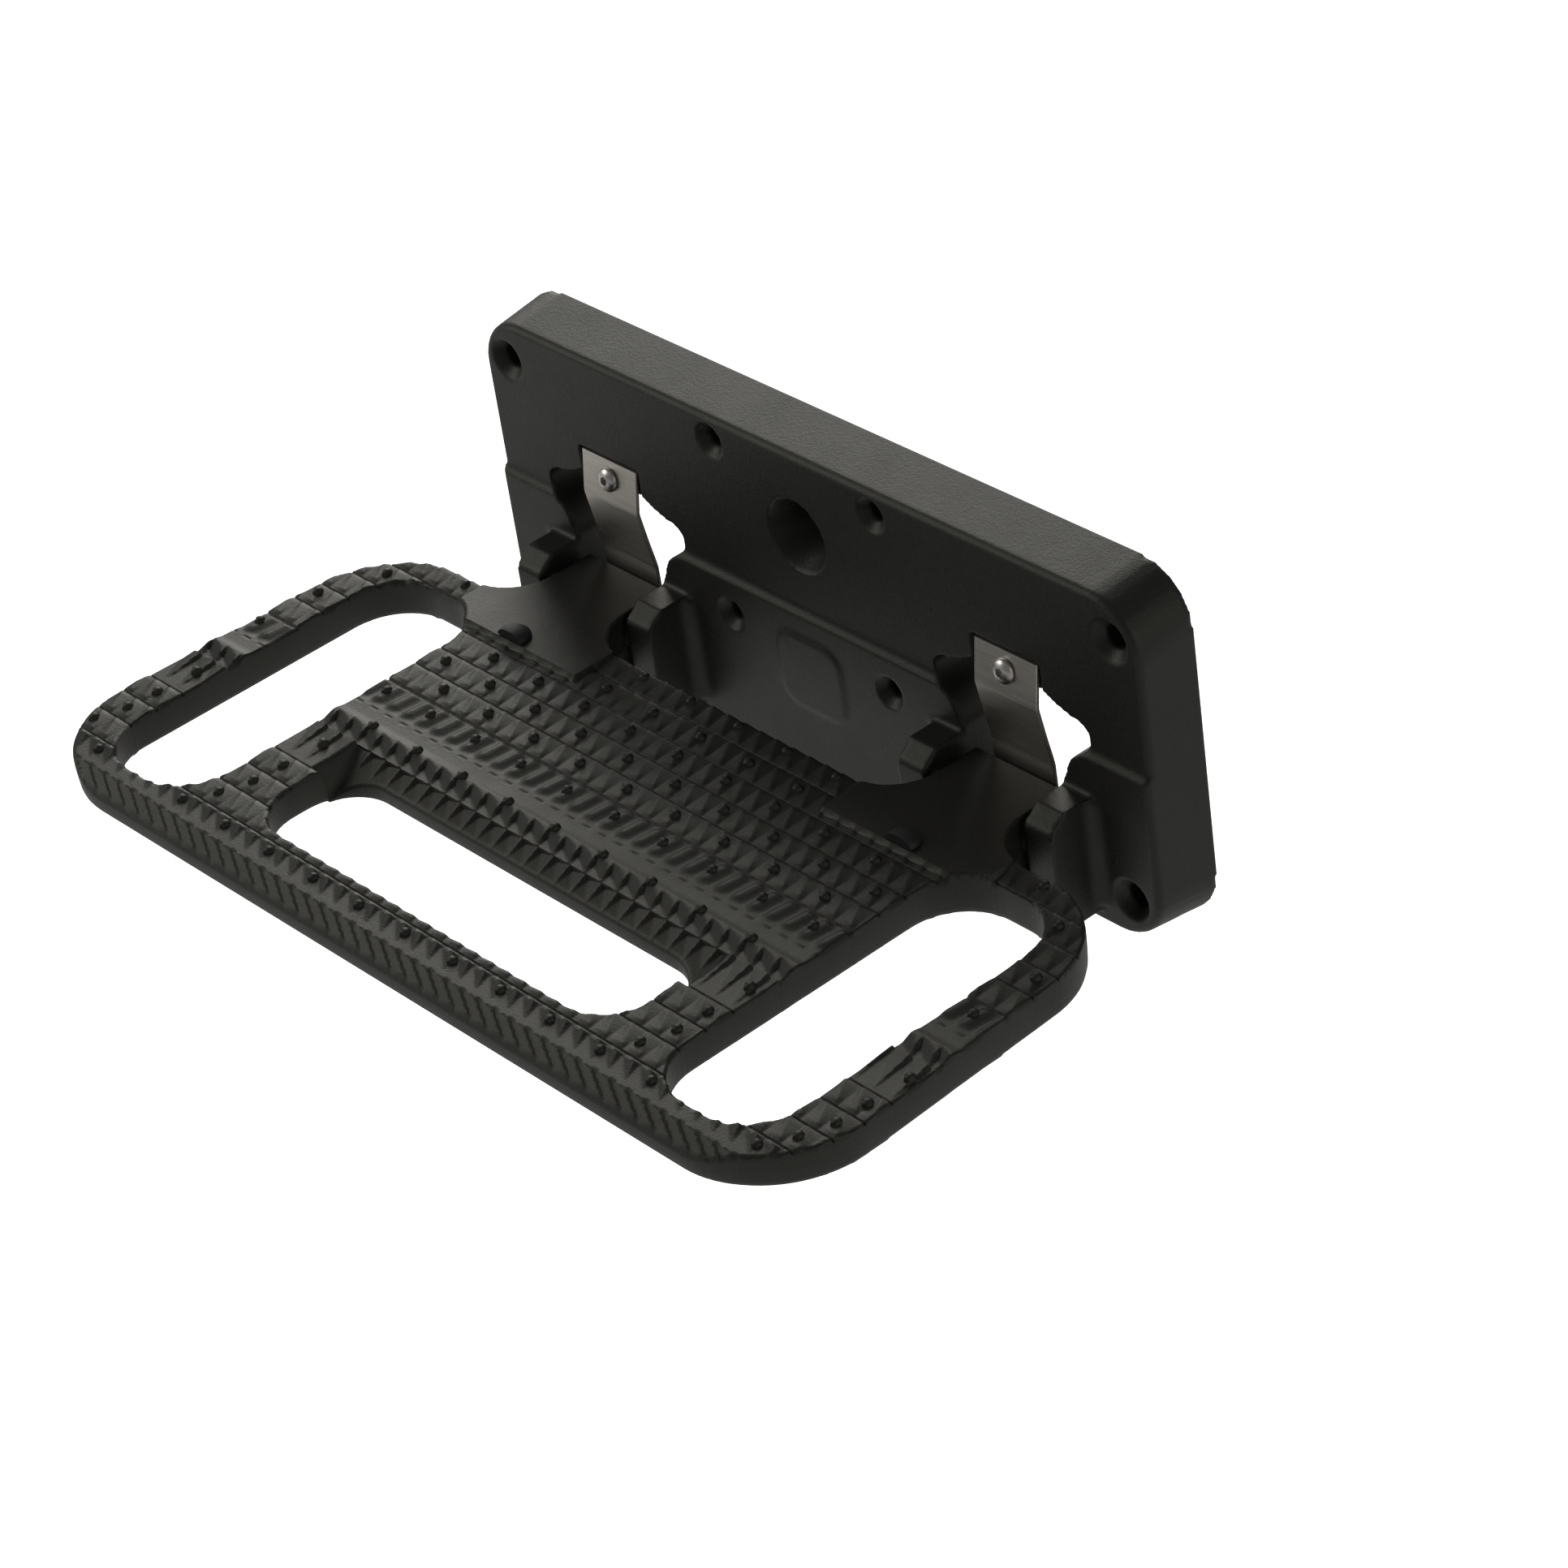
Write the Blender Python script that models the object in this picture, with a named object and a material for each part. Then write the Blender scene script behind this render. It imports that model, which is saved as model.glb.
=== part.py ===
"""Fold-down tailgate step: a cast mounting plate, a cast slotted tread and two sprung hinges.

Frame: metres, +Z up, +X to the right seen from the front, -Y to the front.
The origin is the middle of the plate's back face, which bolts to the tailgate.
The tread is modelled in its working position, square to the plate.
"""

from math import asin, atan2, cos, pi, radians, sin

import bmesh
import bpy
from mathutils import Matrix, Vector

MM = 0.001
GAP = 0.3 * MM
OVERLAP = 0.5 * MM

# Mounting plate
PLATE_WIDTH = 340 * MM
PLATE_HEIGHT = 136 * MM
PLATE_DEPTH = 25 * MM
PLATE_CORNER = 21 * MM
PLATE_DRAFT = 3 * MM
END_DRAFT_SHARE = 0.35
PLATE_SKIN = 6 * MM
PLATE_RIM = 7 * MM
RIM_BEVEL = 1.5 * MM
STEP_OUT = 2 * MM
STEP_TOP = 0.5 * MM
CORNER_HOLE = (156.5 * MM, 52 * MM)
CORNER_BORE = 9 * MM
CORNER_MOUTH = 17 * MM
INNER_HOLES = ((42 * MM, 58 * MM), (42 * MM, -14 * MM))
INNER_BORE = 6.6 * MM
INNER_MOUTH = 14 * MM
CUP_Z = 34 * MM
CUP_MOUTH = 29 * MM
CUP_FLOOR = 13 * MM
CUP_DEPTH = 15 * MM
CUP_BORE = 7 * MM
BADGE = (33 * MM, 30 * MM, 0.8 * MM)
BADGE_Z = -24 * MM

# Hinges: one each side, a tongue of the tread between two lugs of the plate
HINGE_X = 104 * MM
PIN_Y = -40 * MM
PIN_Z = -28.5 * MM
PIN_DIAMETER = 8 * MM
LUG_INNER = 24.5 * MM
LUG_OUTER = 38 * MM
LUG_FRONT = -47 * MM
LUG_TOP = -15 * MM
LUG_FILLET = 5.5 * MM
LUG_BOTTOM = -62 * MM
PIN_BLIND = 3 * MM
TONGUE_HALF = 21.8 * MM
KNUCKLE_RADIUS = 17 * MM
BUSH_WALL = 1 * MM
BUSH_LENGTH = 14 * MM
BUSH_FLANGE = 1 * MM
WASHER_OUTER = 15 * MM
FOLD_DEGREES = 90

# Windows behind the hinges
EAR_HALF = 38 * MM
EAR_EDGE = ((25.4, -12), (28.2, -3.5), (36.2, 1.2), (38.6, 6.8), (35.8, 12), (26, 13.2), (15.5, 18.5))
CHANNEL_BOTTOM = -47.5 * MM
CHANNEL_TOP = 17.5 * MM

# Leaf springs, with the screw, washer and nut that clamp each of them
LEAF_WIDTH = 30.5 * MM
LEAF_THICK = 1.5 * MM
LEAF_TOP = (-24.8 * MM, 27.5 * MM)
LEAF_BEND = (-27.2 * MM, 10.5 * MM)
LEAF_KNEE = (-22.6 * MM, -16 * MM)
LEAF_TIP = (-22.4 * MM, -40 * MM)
SCREW_Z = 20 * MM
SCREW_DIAMETER = 5 * MM
SCREW_HEAD = 9.5 * MM
SCREW_HEAD_HEIGHT = 2.75 * MM
SCREW_SOCKET = 3 * MM
SEAT_WALL = 5 * MM
WASHER_THICK = 1.2 * MM
NUT_ACROSS = 8 * MM
NUT_HEIGHT = 4 * MM

# Tread
TREAD_HALF = 201.5 * MM
TREAD_REAR_HALF = 197.5 * MM
TREAD_FRONT = -231.5 * MM
TREAD_REAR = -63.5 * MM
TREAD_CORNER = 42 * MM
TREAD_REAR_CORNER = 39 * MM
TREAD_TOP = -22.5 * MM
TREAD_BOTTOM = -38 * MM
PAD_TOP = -20.5 * MM
PAD_HALF = 40 * MM
PAD_FRONT = -82.5 * MM
TONGUE_FILLET = 20 * MM
SIDE_SLOT = (125 * MM, 179.6 * MM, -217.8 * MM, -74.8 * MM, 22 * MM)
FRONT_SLOT = (98.3 * MM, -209 * MM, -163.5 * MM, 19.5 * MM)
DROP_START = -148 * MM
DROP_END_Z = -28 * MM
POCKET_SKIN = 6 * MM
BUMPER_RADIUS = 6.8 * MM
BUMPER_HEIGHT = 3.6 * MM
BUMPER_Y = -80 * MM
BUMPER_STEM = 5 * MM

SIDES = (("left", -1), ("right", 1))


# ---------------------------------------------------------------- materials

def make_material(name, colour, metallic, roughness):
    """A Principled BSDF material of one colour."""
    material = bpy.data.materials.new(name)
    material.use_nodes = True
    shader = material.node_tree.nodes["Principled BSDF"]
    shader.inputs["Base Color"].default_value = (*colour, 1)
    shader.inputs["Metallic"].default_value = metallic
    shader.inputs["Roughness"].default_value = roughness
    material.diffuse_color = (*colour, 1)
    return material


# ---------------------------------------------------------------- mesh helpers

def arc(centre, radius, start, end, steps):
    """Points along a circular arc, angles in degrees."""
    points = []
    for index in range(steps + 1):
        angle = radians(start + (end - start) * index / steps)
        points.append((centre[0] + radius * cos(angle), centre[1] + radius * sin(angle)))
    return points


def rounded_box(x_low, x_high, y_low, y_high, radius, steps=6):
    """Outline of a rectangle with round corners, anticlockwise."""
    corners = (
        (x_high - radius, y_high - radius, 0),
        (x_low + radius, y_high - radius, 90),
        (x_low + radius, y_low + radius, 180),
        (x_high - radius, y_low + radius, 270),
    )
    outline = []
    for x, y, start in corners:
        outline += arc((x, y), radius, start, start + 90, steps)
    return outline


def circle(centre, radius, steps=24):
    """Outline of a circle, anticlockwise."""
    return arc(centre, radius, 0, 360, steps)[:-1]


PLANES = {
    "z": lambda u, v, w: Vector((u, v, w)),
    "y": lambda u, v, w: Vector((u, w, v)),
    "x": lambda u, v, w: Vector((w, u, v)),
}


def add_object(name, bm):
    """A linked object from a bmesh whose normals are first turned outward."""
    bmesh.ops.remove_doubles(bm, verts=bm.verts, dist=1e-7)
    bmesh.ops.recalc_face_normals(bm, faces=bm.faces)
    mesh = bpy.data.meshes.new(name)
    bm.to_mesh(mesh)
    bm.free()
    item = bpy.data.objects.new(name, mesh)
    bpy.context.scene.collection.objects.link(item)
    return item


def loft(name, axis, sections):
    """A closed body through outlines of equal length, each ((points), place along the axis)."""
    bm = bmesh.new()
    place = PLANES[axis]
    rings = []
    for outline, height in sections:
        rings.append([bm.verts.new(place(u, v, height)) for u, v in outline])
    for lower, upper in zip(rings, rings[1:]):
        for index in range(len(lower)):
            after = (index + 1) % len(lower)
            bm.faces.new((lower[index], lower[after], upper[after], upper[index]))
    bm.faces.new(rings[0][::-1])
    bm.faces.new(rings[-1])
    return add_object(name, bm)


def prism(name, axis, outline, low, high):
    """An outline extruded along an axis."""
    return loft(name, axis, ((outline, low), (outline, high)))


def turned(name, axis, centre, profile, steps=24):
    """A body turned about a line along the axis: profile is ((radius, place), ...)."""
    return loft(name, axis, [(circle(centre, radius, steps), place) for radius, place in profile])


def combine(target, other, operation):
    """Join or cut target with other, by an exact Boolean that is applied at once."""
    modifier = target.modifiers.new("boolean", "BOOLEAN")
    modifier.operation = operation
    modifier.solver = "EXACT"
    modifier.object = other
    bpy.context.view_layer.update()
    evaluated = target.evaluated_get(bpy.context.evaluated_depsgraph_get())
    result = bpy.data.meshes.new_from_object(evaluated)
    target.modifiers.clear()
    target.data = result
    bpy.data.objects.remove(other)
    return target


def cut(target, *cutters):
    """Cut each cutter out of target."""
    for cutter in cutters:
        combine(target, cutter, "DIFFERENCE")
    return target


def join(target, *others):
    """Join each body to target."""
    for other in others:
        combine(target, other, "UNION")
    return target


def finish(item, material, sharp_degrees=30):
    """Merge what a Boolean left doubled, then set the shading and the material."""
    bm = bmesh.new()
    bm.from_mesh(item.data)
    bmesh.ops.remove_doubles(bm, verts=bm.verts, dist=2e-6)
    bmesh.ops.dissolve_degenerate(bm, edges=bm.edges, dist=1e-6)
    bm.to_mesh(item.data)
    bm.free()
    item.data.materials.clear()
    item.data.materials.append(material)
    item.data.shade_smooth()
    item.data.set_sharp_from_angle(angle=radians(sharp_degrees))
    return item


def empty(name, location, tilt=0.0, parent=None):
    """An empty that carries pieces, turned about X by tilt."""
    item = bpy.data.objects.new(name, None)
    item.location = location
    item.rotation_euler = (tilt, 0, 0)
    item.parent = parent
    bpy.context.scene.collection.objects.link(item)
    bpy.context.view_layer.update()
    return item


def hang(item, parent):
    """Parent an object modelled in world space to an empty, and keep its place."""
    to_local = parent.matrix_world.inverted()
    item.data.transform(to_local)
    item.parent = parent
    return item


# ---------------------------------------------------------------- mounting plate

def plate_outline(grow, draft=0.0):
    """The plate's outline, larger all round by grow and by a draft that is less at the two ends."""
    half_width = PLATE_WIDTH / 2 + grow + draft * END_DRAFT_SHARE
    half_height = PLATE_HEIGHT / 2 + grow + draft
    radius = PLATE_CORNER + grow
    return rounded_box(-half_width, half_width, -half_height, half_height, radius, 8)


def plate_body():
    """The drafted block, its bevelled front rim and the lower half that stands proud."""
    front = -PLATE_DEPTH
    body = loft("mount_plate", "y", (
        (plate_outline(-RIM_BEVEL), front),
        (plate_outline(0), front + RIM_BEVEL),
        (plate_outline(0, PLATE_DRAFT), 0),
    ))
    proud = front - STEP_OUT
    lower = loft("lower_half", "y", (
        (plate_outline(-RIM_BEVEL), proud),
        (plate_outline(0), proud + RIM_BEVEL),
        (plate_outline(0, PLATE_DRAFT / 2), -PLATE_DEPTH / 2),
    ))
    reach = PLATE_WIDTH
    above = ((proud - MM, STEP_TOP - MM), (-PLATE_DEPTH / 2 + MM, STEP_TOP + 2 * MM))
    wedge = prism("ledge", "x", (
        above[0], (front, STEP_TOP + STEP_OUT), (above[1][0], STEP_TOP + STEP_OUT),
        (above[1][0], PLATE_HEIGHT), (above[0][0], PLATE_HEIGHT),
    ), -reach, reach)
    cut(lower, wedge)
    return join(body, lower)


def lug_profile():
    """Side view of a hinge lug: flat top, sloping shoulder, straight front."""
    root = -PLATE_DEPTH + 4 * MM
    nose = 3 * MM
    outline = [(root, LUG_BOTTOM), (root, LUG_TOP), (LUG_FRONT + 7 * MM, LUG_TOP)]
    outline += arc((LUG_FRONT + nose, LUG_TOP - 7 * MM), nose, 130, 180, 4)
    outline += [(LUG_FRONT, LUG_BOTTOM + 9 * MM), (LUG_FRONT + 7 * MM, LUG_BOTTOM)]
    return outline


def lug_root(edge, outward):
    """Seen from above: the fillet that spreads a lug's side into the plate."""
    radius = LUG_FILLET
    face = -PLATE_DEPTH - STEP_OUT
    inside = edge - outward * MM
    outline = [(inside, face + 3 * MM), (edge + outward * radius, face + 3 * MM)]
    for index in range(7):
        angle = pi / 2 * index / 6
        outline.append((edge + outward * radius * (1 - sin(angle)), face - radius * (1 - cos(angle))))
    outline.append((inside, face - radius))
    return outline


def lugs(body):
    """Two lugs for each hinge, each with a fillet on its outward side."""
    for _, side in SIDES:
        for outward in (-1, 1):
            edge = side * HINGE_X + outward * LUG_OUTER
            near, far = sorted((edge, side * HINGE_X + outward * LUG_INNER))
            join(body, prism("lug", "x", lug_profile(), near, far))
            join(body, prism("root", "z", lug_root(edge, outward), LUG_BOTTOM + 3 * MM, LUG_TOP - MM))
    return body


def softened(points, rounds=2):
    """An open line with its corners cut away, its two ends kept."""
    for _ in range(rounds):
        line = [points[0]]
        for (u, v), (s, t) in zip(points, points[1:]):
            line.append((u * 0.75 + s * 0.25, v * 0.75 + t * 0.25))
            line.append((u * 0.25 + s * 0.75, v * 0.25 + t * 0.75))
        points = line + [points[-1]]
    return points


def window_outline(x):
    """The opening behind a hinge: a wide ear each side over a narrower channel."""
    half = LUG_INNER
    edge = softened([(u * MM, v * MM) for u, v in EAR_EDGE])
    outline = [(x - half, CHANNEL_BOTTOM), (x + half, CHANNEL_BOTTOM), (x + half, EAR_EDGE[0][1] * MM - MM)]
    outline += [(x + u, v) for u, v in edge]
    outline += [(x + LEAF_WIDTH / 2, CHANNEL_TOP), (x - LEAF_WIDTH / 2, CHANNEL_TOP)]
    outline += [(x - u, v) for u, v in reversed(edge)]
    outline.append((x - half, EAR_EDGE[0][1] * MM - MM))
    return outline


def countersink(x, z, mouth, bore):
    """A bore through the plate with a conical mouth that is open past the front."""
    sink = (mouth - bore) / 2
    front = -PLATE_DEPTH - (STEP_OUT if z < STEP_TOP else 0)
    extra = MM
    return turned("hole", "y", (x, z), (
        (mouth / 2 + extra, front - extra),
        (bore / 2, front + sink),
        (bore / 2, MM),
    ))


def back_pockets():
    """Hollows of the casting's back, between its ribs and round its bosses."""
    floor = -PLATE_DEPTH + PLATE_SKIN
    rib = 5 * MM
    middle = HINGE_X - EAR_HALF - 10 * MM
    inner_top = PLATE_HEIGHT / 2 - PLATE_RIM
    pockets = []
    for low, high in ((-inner_top, -rib / 2), (rib / 2, inner_top)):
        for _, side in SIDES:
            near, far = sorted((side * rib / 2, side * middle))
            pockets.append(prism("pocket", "y", rounded_box(near, far, low, high, 5 * MM, 3), floor, MM))
    for _, side in SIDES:
        near, far = sorted((side * (HINGE_X - 34 * MM), side * (HINGE_X + 34 * MM)))
        top = rounded_box(near, far, SCREW_Z + 17 * MM, inner_top, 5 * MM, 3)
        pockets.append(prism("pocket", "y", top, floor, MM))
        near, far = sorted((side * 150 * MM, side * (PLATE_WIDTH / 2 - PLATE_RIM)))
        end = rounded_box(near, far, -35 * MM, 35 * MM, 5 * MM, 3)
        pockets.append(prism("pocket", "y", end, floor, MM))
    return pockets


def bosses():
    """Solid pads round the holes, from the front skin to the back face."""
    items = []
    for x, z in INNER_HOLES:
        for _, side in SIDES:
            items.append(turned("boss", "y", (side * x, z), ((9 * MM, -PLATE_DEPTH + MM), (9 * MM, 0))))
    items.append(turned("cup_boss", "y", (0, CUP_Z), ((18 * MM, -PLATE_DEPTH + MM), (11 * MM, 0))))
    return items


def spring_tilt():
    """Angle by which the leaf's upper part leans forward going down."""
    return atan2(LEAF_BEND[0] - LEAF_TOP[0], LEAF_TOP[1] - LEAF_BEND[1])


def leaf_face(z):
    """Y of the leaf's front face, on its upper part, at a height."""
    share = (z - LEAF_BEND[1]) / (LEAF_TOP[1] - LEAF_BEND[1])
    return LEAF_BEND[0] + (LEAF_TOP[0] - LEAF_BEND[0]) * share


def clamp_frame(x):
    """Frame at the leaf's front face on the screw's axis: local -Y runs out of the leaf."""
    place = Matrix.Translation((x, leaf_face(SCREW_Z), SCREW_Z))
    return place @ Matrix.Rotation(spring_tilt(), 4, "X")


def local_box(name, frame, low, high):
    """A box between two corners of a local frame."""
    bm = bmesh.new()
    bmesh.ops.create_cube(bm, size=1)
    middle = (Vector(low) + Vector(high)) / 2
    size = Vector(high) - Vector(low)
    bm.transform(frame @ Matrix.Translation(middle) @ Matrix.Diagonal((*size, 1)))
    return add_object(name, bm)


def spring_seat(body, x):
    """Seat of a leaf: a tilted shelf in front, a nut face behind, and the screw's hole."""
    frame = clamp_frame(x)
    shelf = LEAF_THICK + GAP
    side = LEAF_WIDTH / 2 + 1.5 * MM
    above = LEAF_TOP[1] - SCREW_Z + 1.2 * MM
    front_cut = local_box("seat", frame, (-side, -6 * MM, -20 * MM), (side, shelf, above))
    back = shelf + SEAT_WALL
    back_cut = local_box("nut_room", frame, (-13 * MM, back, -14 * MM), (13 * MM, 40 * MM, 11 * MM))
    hole = turned("screw_hole", "y", (0, 0), ((SCREW_DIAMETER / 2 + GAP, -4 * MM), (SCREW_DIAMETER / 2 + GAP, 12 * MM)))
    hole.data.transform(frame)
    return cut(body, front_cut, back_cut, hole)


def pin_bore(x):
    """Bore for a pin: open on its left side, blind in the right lug."""
    radius = PIN_DIAMETER / 2 + GAP
    return turned("bore", "x", (PIN_Y, PIN_Z), (
        (radius, x - LUG_OUTER - MM),
        (radius, x + LUG_OUTER - PIN_BLIND),
    ))


def set_screw_bore(x):
    """Threaded hole up into the left lug, under the pin."""
    return turned("bore", "z", (x - (LUG_INNER + LUG_OUTER) / 2, PIN_Y), (
        (2.5 * MM + GAP, LUG_BOTTOM - MM),
        (2.5 * MM + GAP, PIN_Z - 2 * MM),
    ))


def make_plate(material):
    """The cast mounting plate, with its back hollowed out."""
    body = plate_body()
    cut(body, *back_pockets())
    join(body, *bosses())
    lugs(body)
    for _, side in SIDES:
        x = side * HINGE_X
        cut(body, prism("window", "y", window_outline(x), -PLATE_DEPTH - 8 * MM, MM))
        spring_seat(body, x)
        cut(body, pin_bore(x), set_screw_bore(x))
        for z in (CORNER_HOLE[1], -CORNER_HOLE[1]):
            cut(body, countersink(side * CORNER_HOLE[0], z, CORNER_MOUTH, CORNER_BORE))
        for hole_x, z in INNER_HOLES:
            cut(body, countersink(side * hole_x, z, INNER_MOUTH, INNER_BORE))
    cup = turned("cup", "y", (0, CUP_Z), (
        (CUP_MOUTH / 2 + MM, -PLATE_DEPTH - MM),
        (CUP_FLOOR / 2, -PLATE_DEPTH + CUP_DEPTH),
    ))
    drain = turned("drain", "y", (0, CUP_Z), ((CUP_BORE / 2, -PLATE_DEPTH), (CUP_BORE / 2, MM)))
    cut(body, cup, drain)
    front = -PLATE_DEPTH - STEP_OUT
    half_width, half_height = BADGE[0] / 2, BADGE[1] / 2
    blank = rounded_box(-half_width, half_width, BADGE_Z - half_height, BADGE_Z + half_height, 8 * MM, 4)
    join(body, prism("blank_badge", "y", blank, front - BADGE[2], front + MM))
    return finish(body, material)


# ---------------------------------------------------------------- tread

def tread_outline(inset=0.0):
    """The tread seen from above: round corners, and two tongues that run back to the hinges."""
    radius = TREAD_CORNER
    rear_radius = TREAD_REAR_CORNER
    fillet = TONGUE_FILLET
    neck = TONGUE_HALF - OVERLAP - inset
    rear = TREAD_REAR - inset
    back = PIN_Y - 2 * MM
    outline = arc((TREAD_HALF - radius, TREAD_FRONT + radius), radius, -90, 0, 10)
    outline += arc((TREAD_REAR_HALF - rear_radius, rear - rear_radius), rear_radius, 3, 90, 10)
    outline += arc((HINGE_X + neck + fillet, rear + fillet), fillet, 270, 180, 6)
    outline.append((HINGE_X + neck, back))
    outline.append((HINGE_X - neck, back))
    outline += arc((HINGE_X - neck - fillet, rear + fillet), fillet, 0, -90, 6)
    mirrored = [(-x, y) for x, y in reversed(outline)]
    return outline + mirrored


def tread_section():
    """Side view of the slab: its top dips and rises in two low waves, its front slopes."""
    crest = 1.5 * MM
    dip = 1.5 * MM
    return (
        (PIN_Y, TREAD_BOTTOM), (PIN_Y, TREAD_TOP), (TREAD_REAR - 50 * MM, TREAD_TOP),
        (TREAD_REAR - 80 * MM, TREAD_TOP + crest), (TREAD_REAR - 88 * MM, TREAD_TOP - dip),
        (TREAD_FRONT + 24 * MM, TREAD_TOP - dip), (TREAD_FRONT + 14 * MM, TREAD_TOP),
        (TREAD_FRONT + 9 * MM, TREAD_TOP - dip), (TREAD_FRONT, TREAD_BOTTOM + 6 * MM),
        (TREAD_FRONT + 2 * MM, TREAD_BOTTOM),
    )


def tongue_section():
    """Side view of a tongue: flat pad on top, round knuckle, and the heel that stops the fold."""
    top = PAD_TOP + 0.1 * MM
    front = PAD_FRONT + 3 * MM
    start = asin((top - PIN_Z) / KNUCKLE_RADIUS) * 180 / pi
    outline = [(front, TREAD_BOTTOM + 2 * MM), (front, top)]
    outline += arc((PIN_Y, PIN_Z), KNUCKLE_RADIUS, start, -55, 12)
    heel_back = -PLATE_DEPTH - STEP_OUT - GAP
    outline += [(heel_back, CHANNEL_BOTTOM + 2 * MM), (heel_back, LUG_BOTTOM + 4 * MM)]
    outline += [(heel_back - 7 * MM, LUG_BOTTOM + 4 * MM), (PIN_Y - 14 * MM, TREAD_BOTTOM - 3 * MM)]
    outline.append((PIN_Y - 20 * MM, TREAD_BOTTOM + 2 * MM))
    return outline


def pad_outline(x):
    """The smooth pad in front of a tongue, seen from above."""
    return rounded_box(x - PAD_HALF, x + PAD_HALF, PAD_FRONT, TREAD_REAR + 4 * MM, 6 * MM, 4)


def underside_pockets():
    """Hollows under the tread, between its ribs."""
    ceiling = TREAD_TOP - POCKET_SKIN - 1.5 * MM
    below = TREAD_BOTTOM - MM
    wall = 5 * MM
    outer = SIDE_SLOT[0] - wall
    bay = (2 * outer - 3 * wall) / 4
    front = FRONT_SLOT[2] + wall
    rear = PAD_FRONT - wall
    items = []
    for index in range(4):
        low = -outer + index * (bay + wall)
        items.append(prism("bay", "z", rounded_box(low, low + bay, front, rear, 6 * MM, 3), below, ceiling))
    bar = (TREAD_FRONT + wall + 1 * MM, FRONT_SLOT[1] - 4 * MM)
    items.append(prism("bay", "z", rounded_box(-95 * MM, 95 * MM, bar[0], bar[1], 5 * MM, 3), below, ceiling))
    return items


def front_drop():
    """What is cut away where the top falls to the front slot, shallower towards its ends."""
    end = FRONT_SLOT[2] - 2 * MM
    roof = PAD_TOP + 5 * MM
    sections = []
    for x, low in ((-104 * MM, TREAD_TOP), (-94 * MM, DROP_END_Z), (94 * MM, DROP_END_Z), (104 * MM, TREAD_TOP)):
        sections.append((((DROP_START, TREAD_TOP + 1.4 * MM), (end, low), (end, roof), (DROP_START, roof)), x))
    return loft("drop", "x", sections)


def make_tread(material):
    """The cast tread, cut to its outline and slotted."""
    body = prism("tread_plate", "x", tread_section(), -TREAD_HALF - MM, TREAD_HALF + MM)
    mask = prism("mask", "z", tread_outline(), TREAD_BOTTOM - 5 * MM, TREAD_TOP + 5 * MM)
    combine(body, mask, "INTERSECT")
    cut(body, front_drop())
    for _, side in SIDES:
        x = side * HINGE_X
        join(body, prism("tongue", "x", tongue_section(), x - TONGUE_HALF, x + TONGUE_HALF))
        pad = prism("pad", "z", pad_outline(x), TREAD_BOTTOM + 3 * MM, PAD_TOP)
        pad_mask = prism("mask", "z", tread_outline(GAP), TREAD_BOTTOM, PAD_TOP + MM)
        combine(pad, pad_mask, "INTERSECT")
        join(body, pad)
    low, high, front, rear, radius = SIDE_SLOT
    for _, side in SIDES:
        near, far = sorted((side * low, side * high))
        slot = rounded_box(near, far, front, rear, radius, 8)
        cut(body, prism("slot", "z", slot, TREAD_BOTTOM - MM, PAD_TOP + 5 * MM))
    half, front, rear, radius = FRONT_SLOT
    slot = rounded_box(-half, half, front, rear, radius, 8)
    cut(body, prism("slot", "z", slot, TREAD_BOTTOM - MM, PAD_TOP + 5 * MM))
    cut(body, *underside_pockets())
    bore = PIN_DIAMETER / 2 + BUSH_WALL + 2 * GAP
    for _, side in SIDES:
        x = side * HINGE_X
        cut(body, turned("bore", "x", (PIN_Y, PIN_Z), ((bore, x - 30 * MM), (bore, x + 30 * MM))))
        stem = turned("stem_hole", "z", (x, BUMPER_Y), (
            (BUMPER_STEM / 2 + GAP, PAD_TOP - 6 * MM), (BUMPER_STEM / 2 + GAP, PAD_TOP + MM),
        ), 16)
        cut(body, stem)
    return finish(body, material)


# ---------------------------------------------------------------- small pieces

def make_leaf(name, x, material):
    """A bent strip spring with a hole for its screw."""
    thick = LEAF_THICK
    front = [LEAF_TOP, LEAF_BEND, LEAF_KNEE, LEAF_TIP]
    back = [(y + thick, z) for y, z in reversed(front)]
    strip = prism(name, "x", front + back, x - LEAF_WIDTH / 2, x + LEAF_WIDTH / 2)
    radius = SCREW_DIAMETER / 2 + GAP
    hole = turned("hole", "y", (0, 0), ((radius, -4 * MM), (radius, 4 * MM)))
    hole.data.transform(clamp_frame(x))
    return finish(cut(strip, hole), material)


def hexagon(across):
    """Outline of a hexagon by its width across the flats."""
    return circle((0, 0), across / 2 / cos(pi / 6), 6)


def make_spring_screw(name, x, material):
    """A button-head screw with a hexagon socket, along the clamp's axis."""
    radius = SCREW_DIAMETER / 2
    back = LEAF_THICK + SEAT_WALL + WASHER_THICK + NUT_HEIGHT + 4 * GAP + MM
    dome = [(SCREW_HEAD / 2 * cos(radians(a)), -GAP - SCREW_HEAD_HEIGHT * (0.25 + 0.75 * sin(radians(a))))
            for a in (68, 45, 22, 0)]
    profile = dome + [(SCREW_HEAD / 2, -GAP), (radius, -GAP), (radius, back - 0.6 * MM), (radius - 0.6 * MM, back)]
    screw = turned(name, "y", (0, 0), profile)
    top = -GAP - SCREW_HEAD_HEIGHT
    cut(screw, prism("socket", "y", hexagon(SCREW_SOCKET), top - MM, top + 1.6 * MM))
    screw.data.transform(clamp_frame(x))
    return finish(screw, material)


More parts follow.
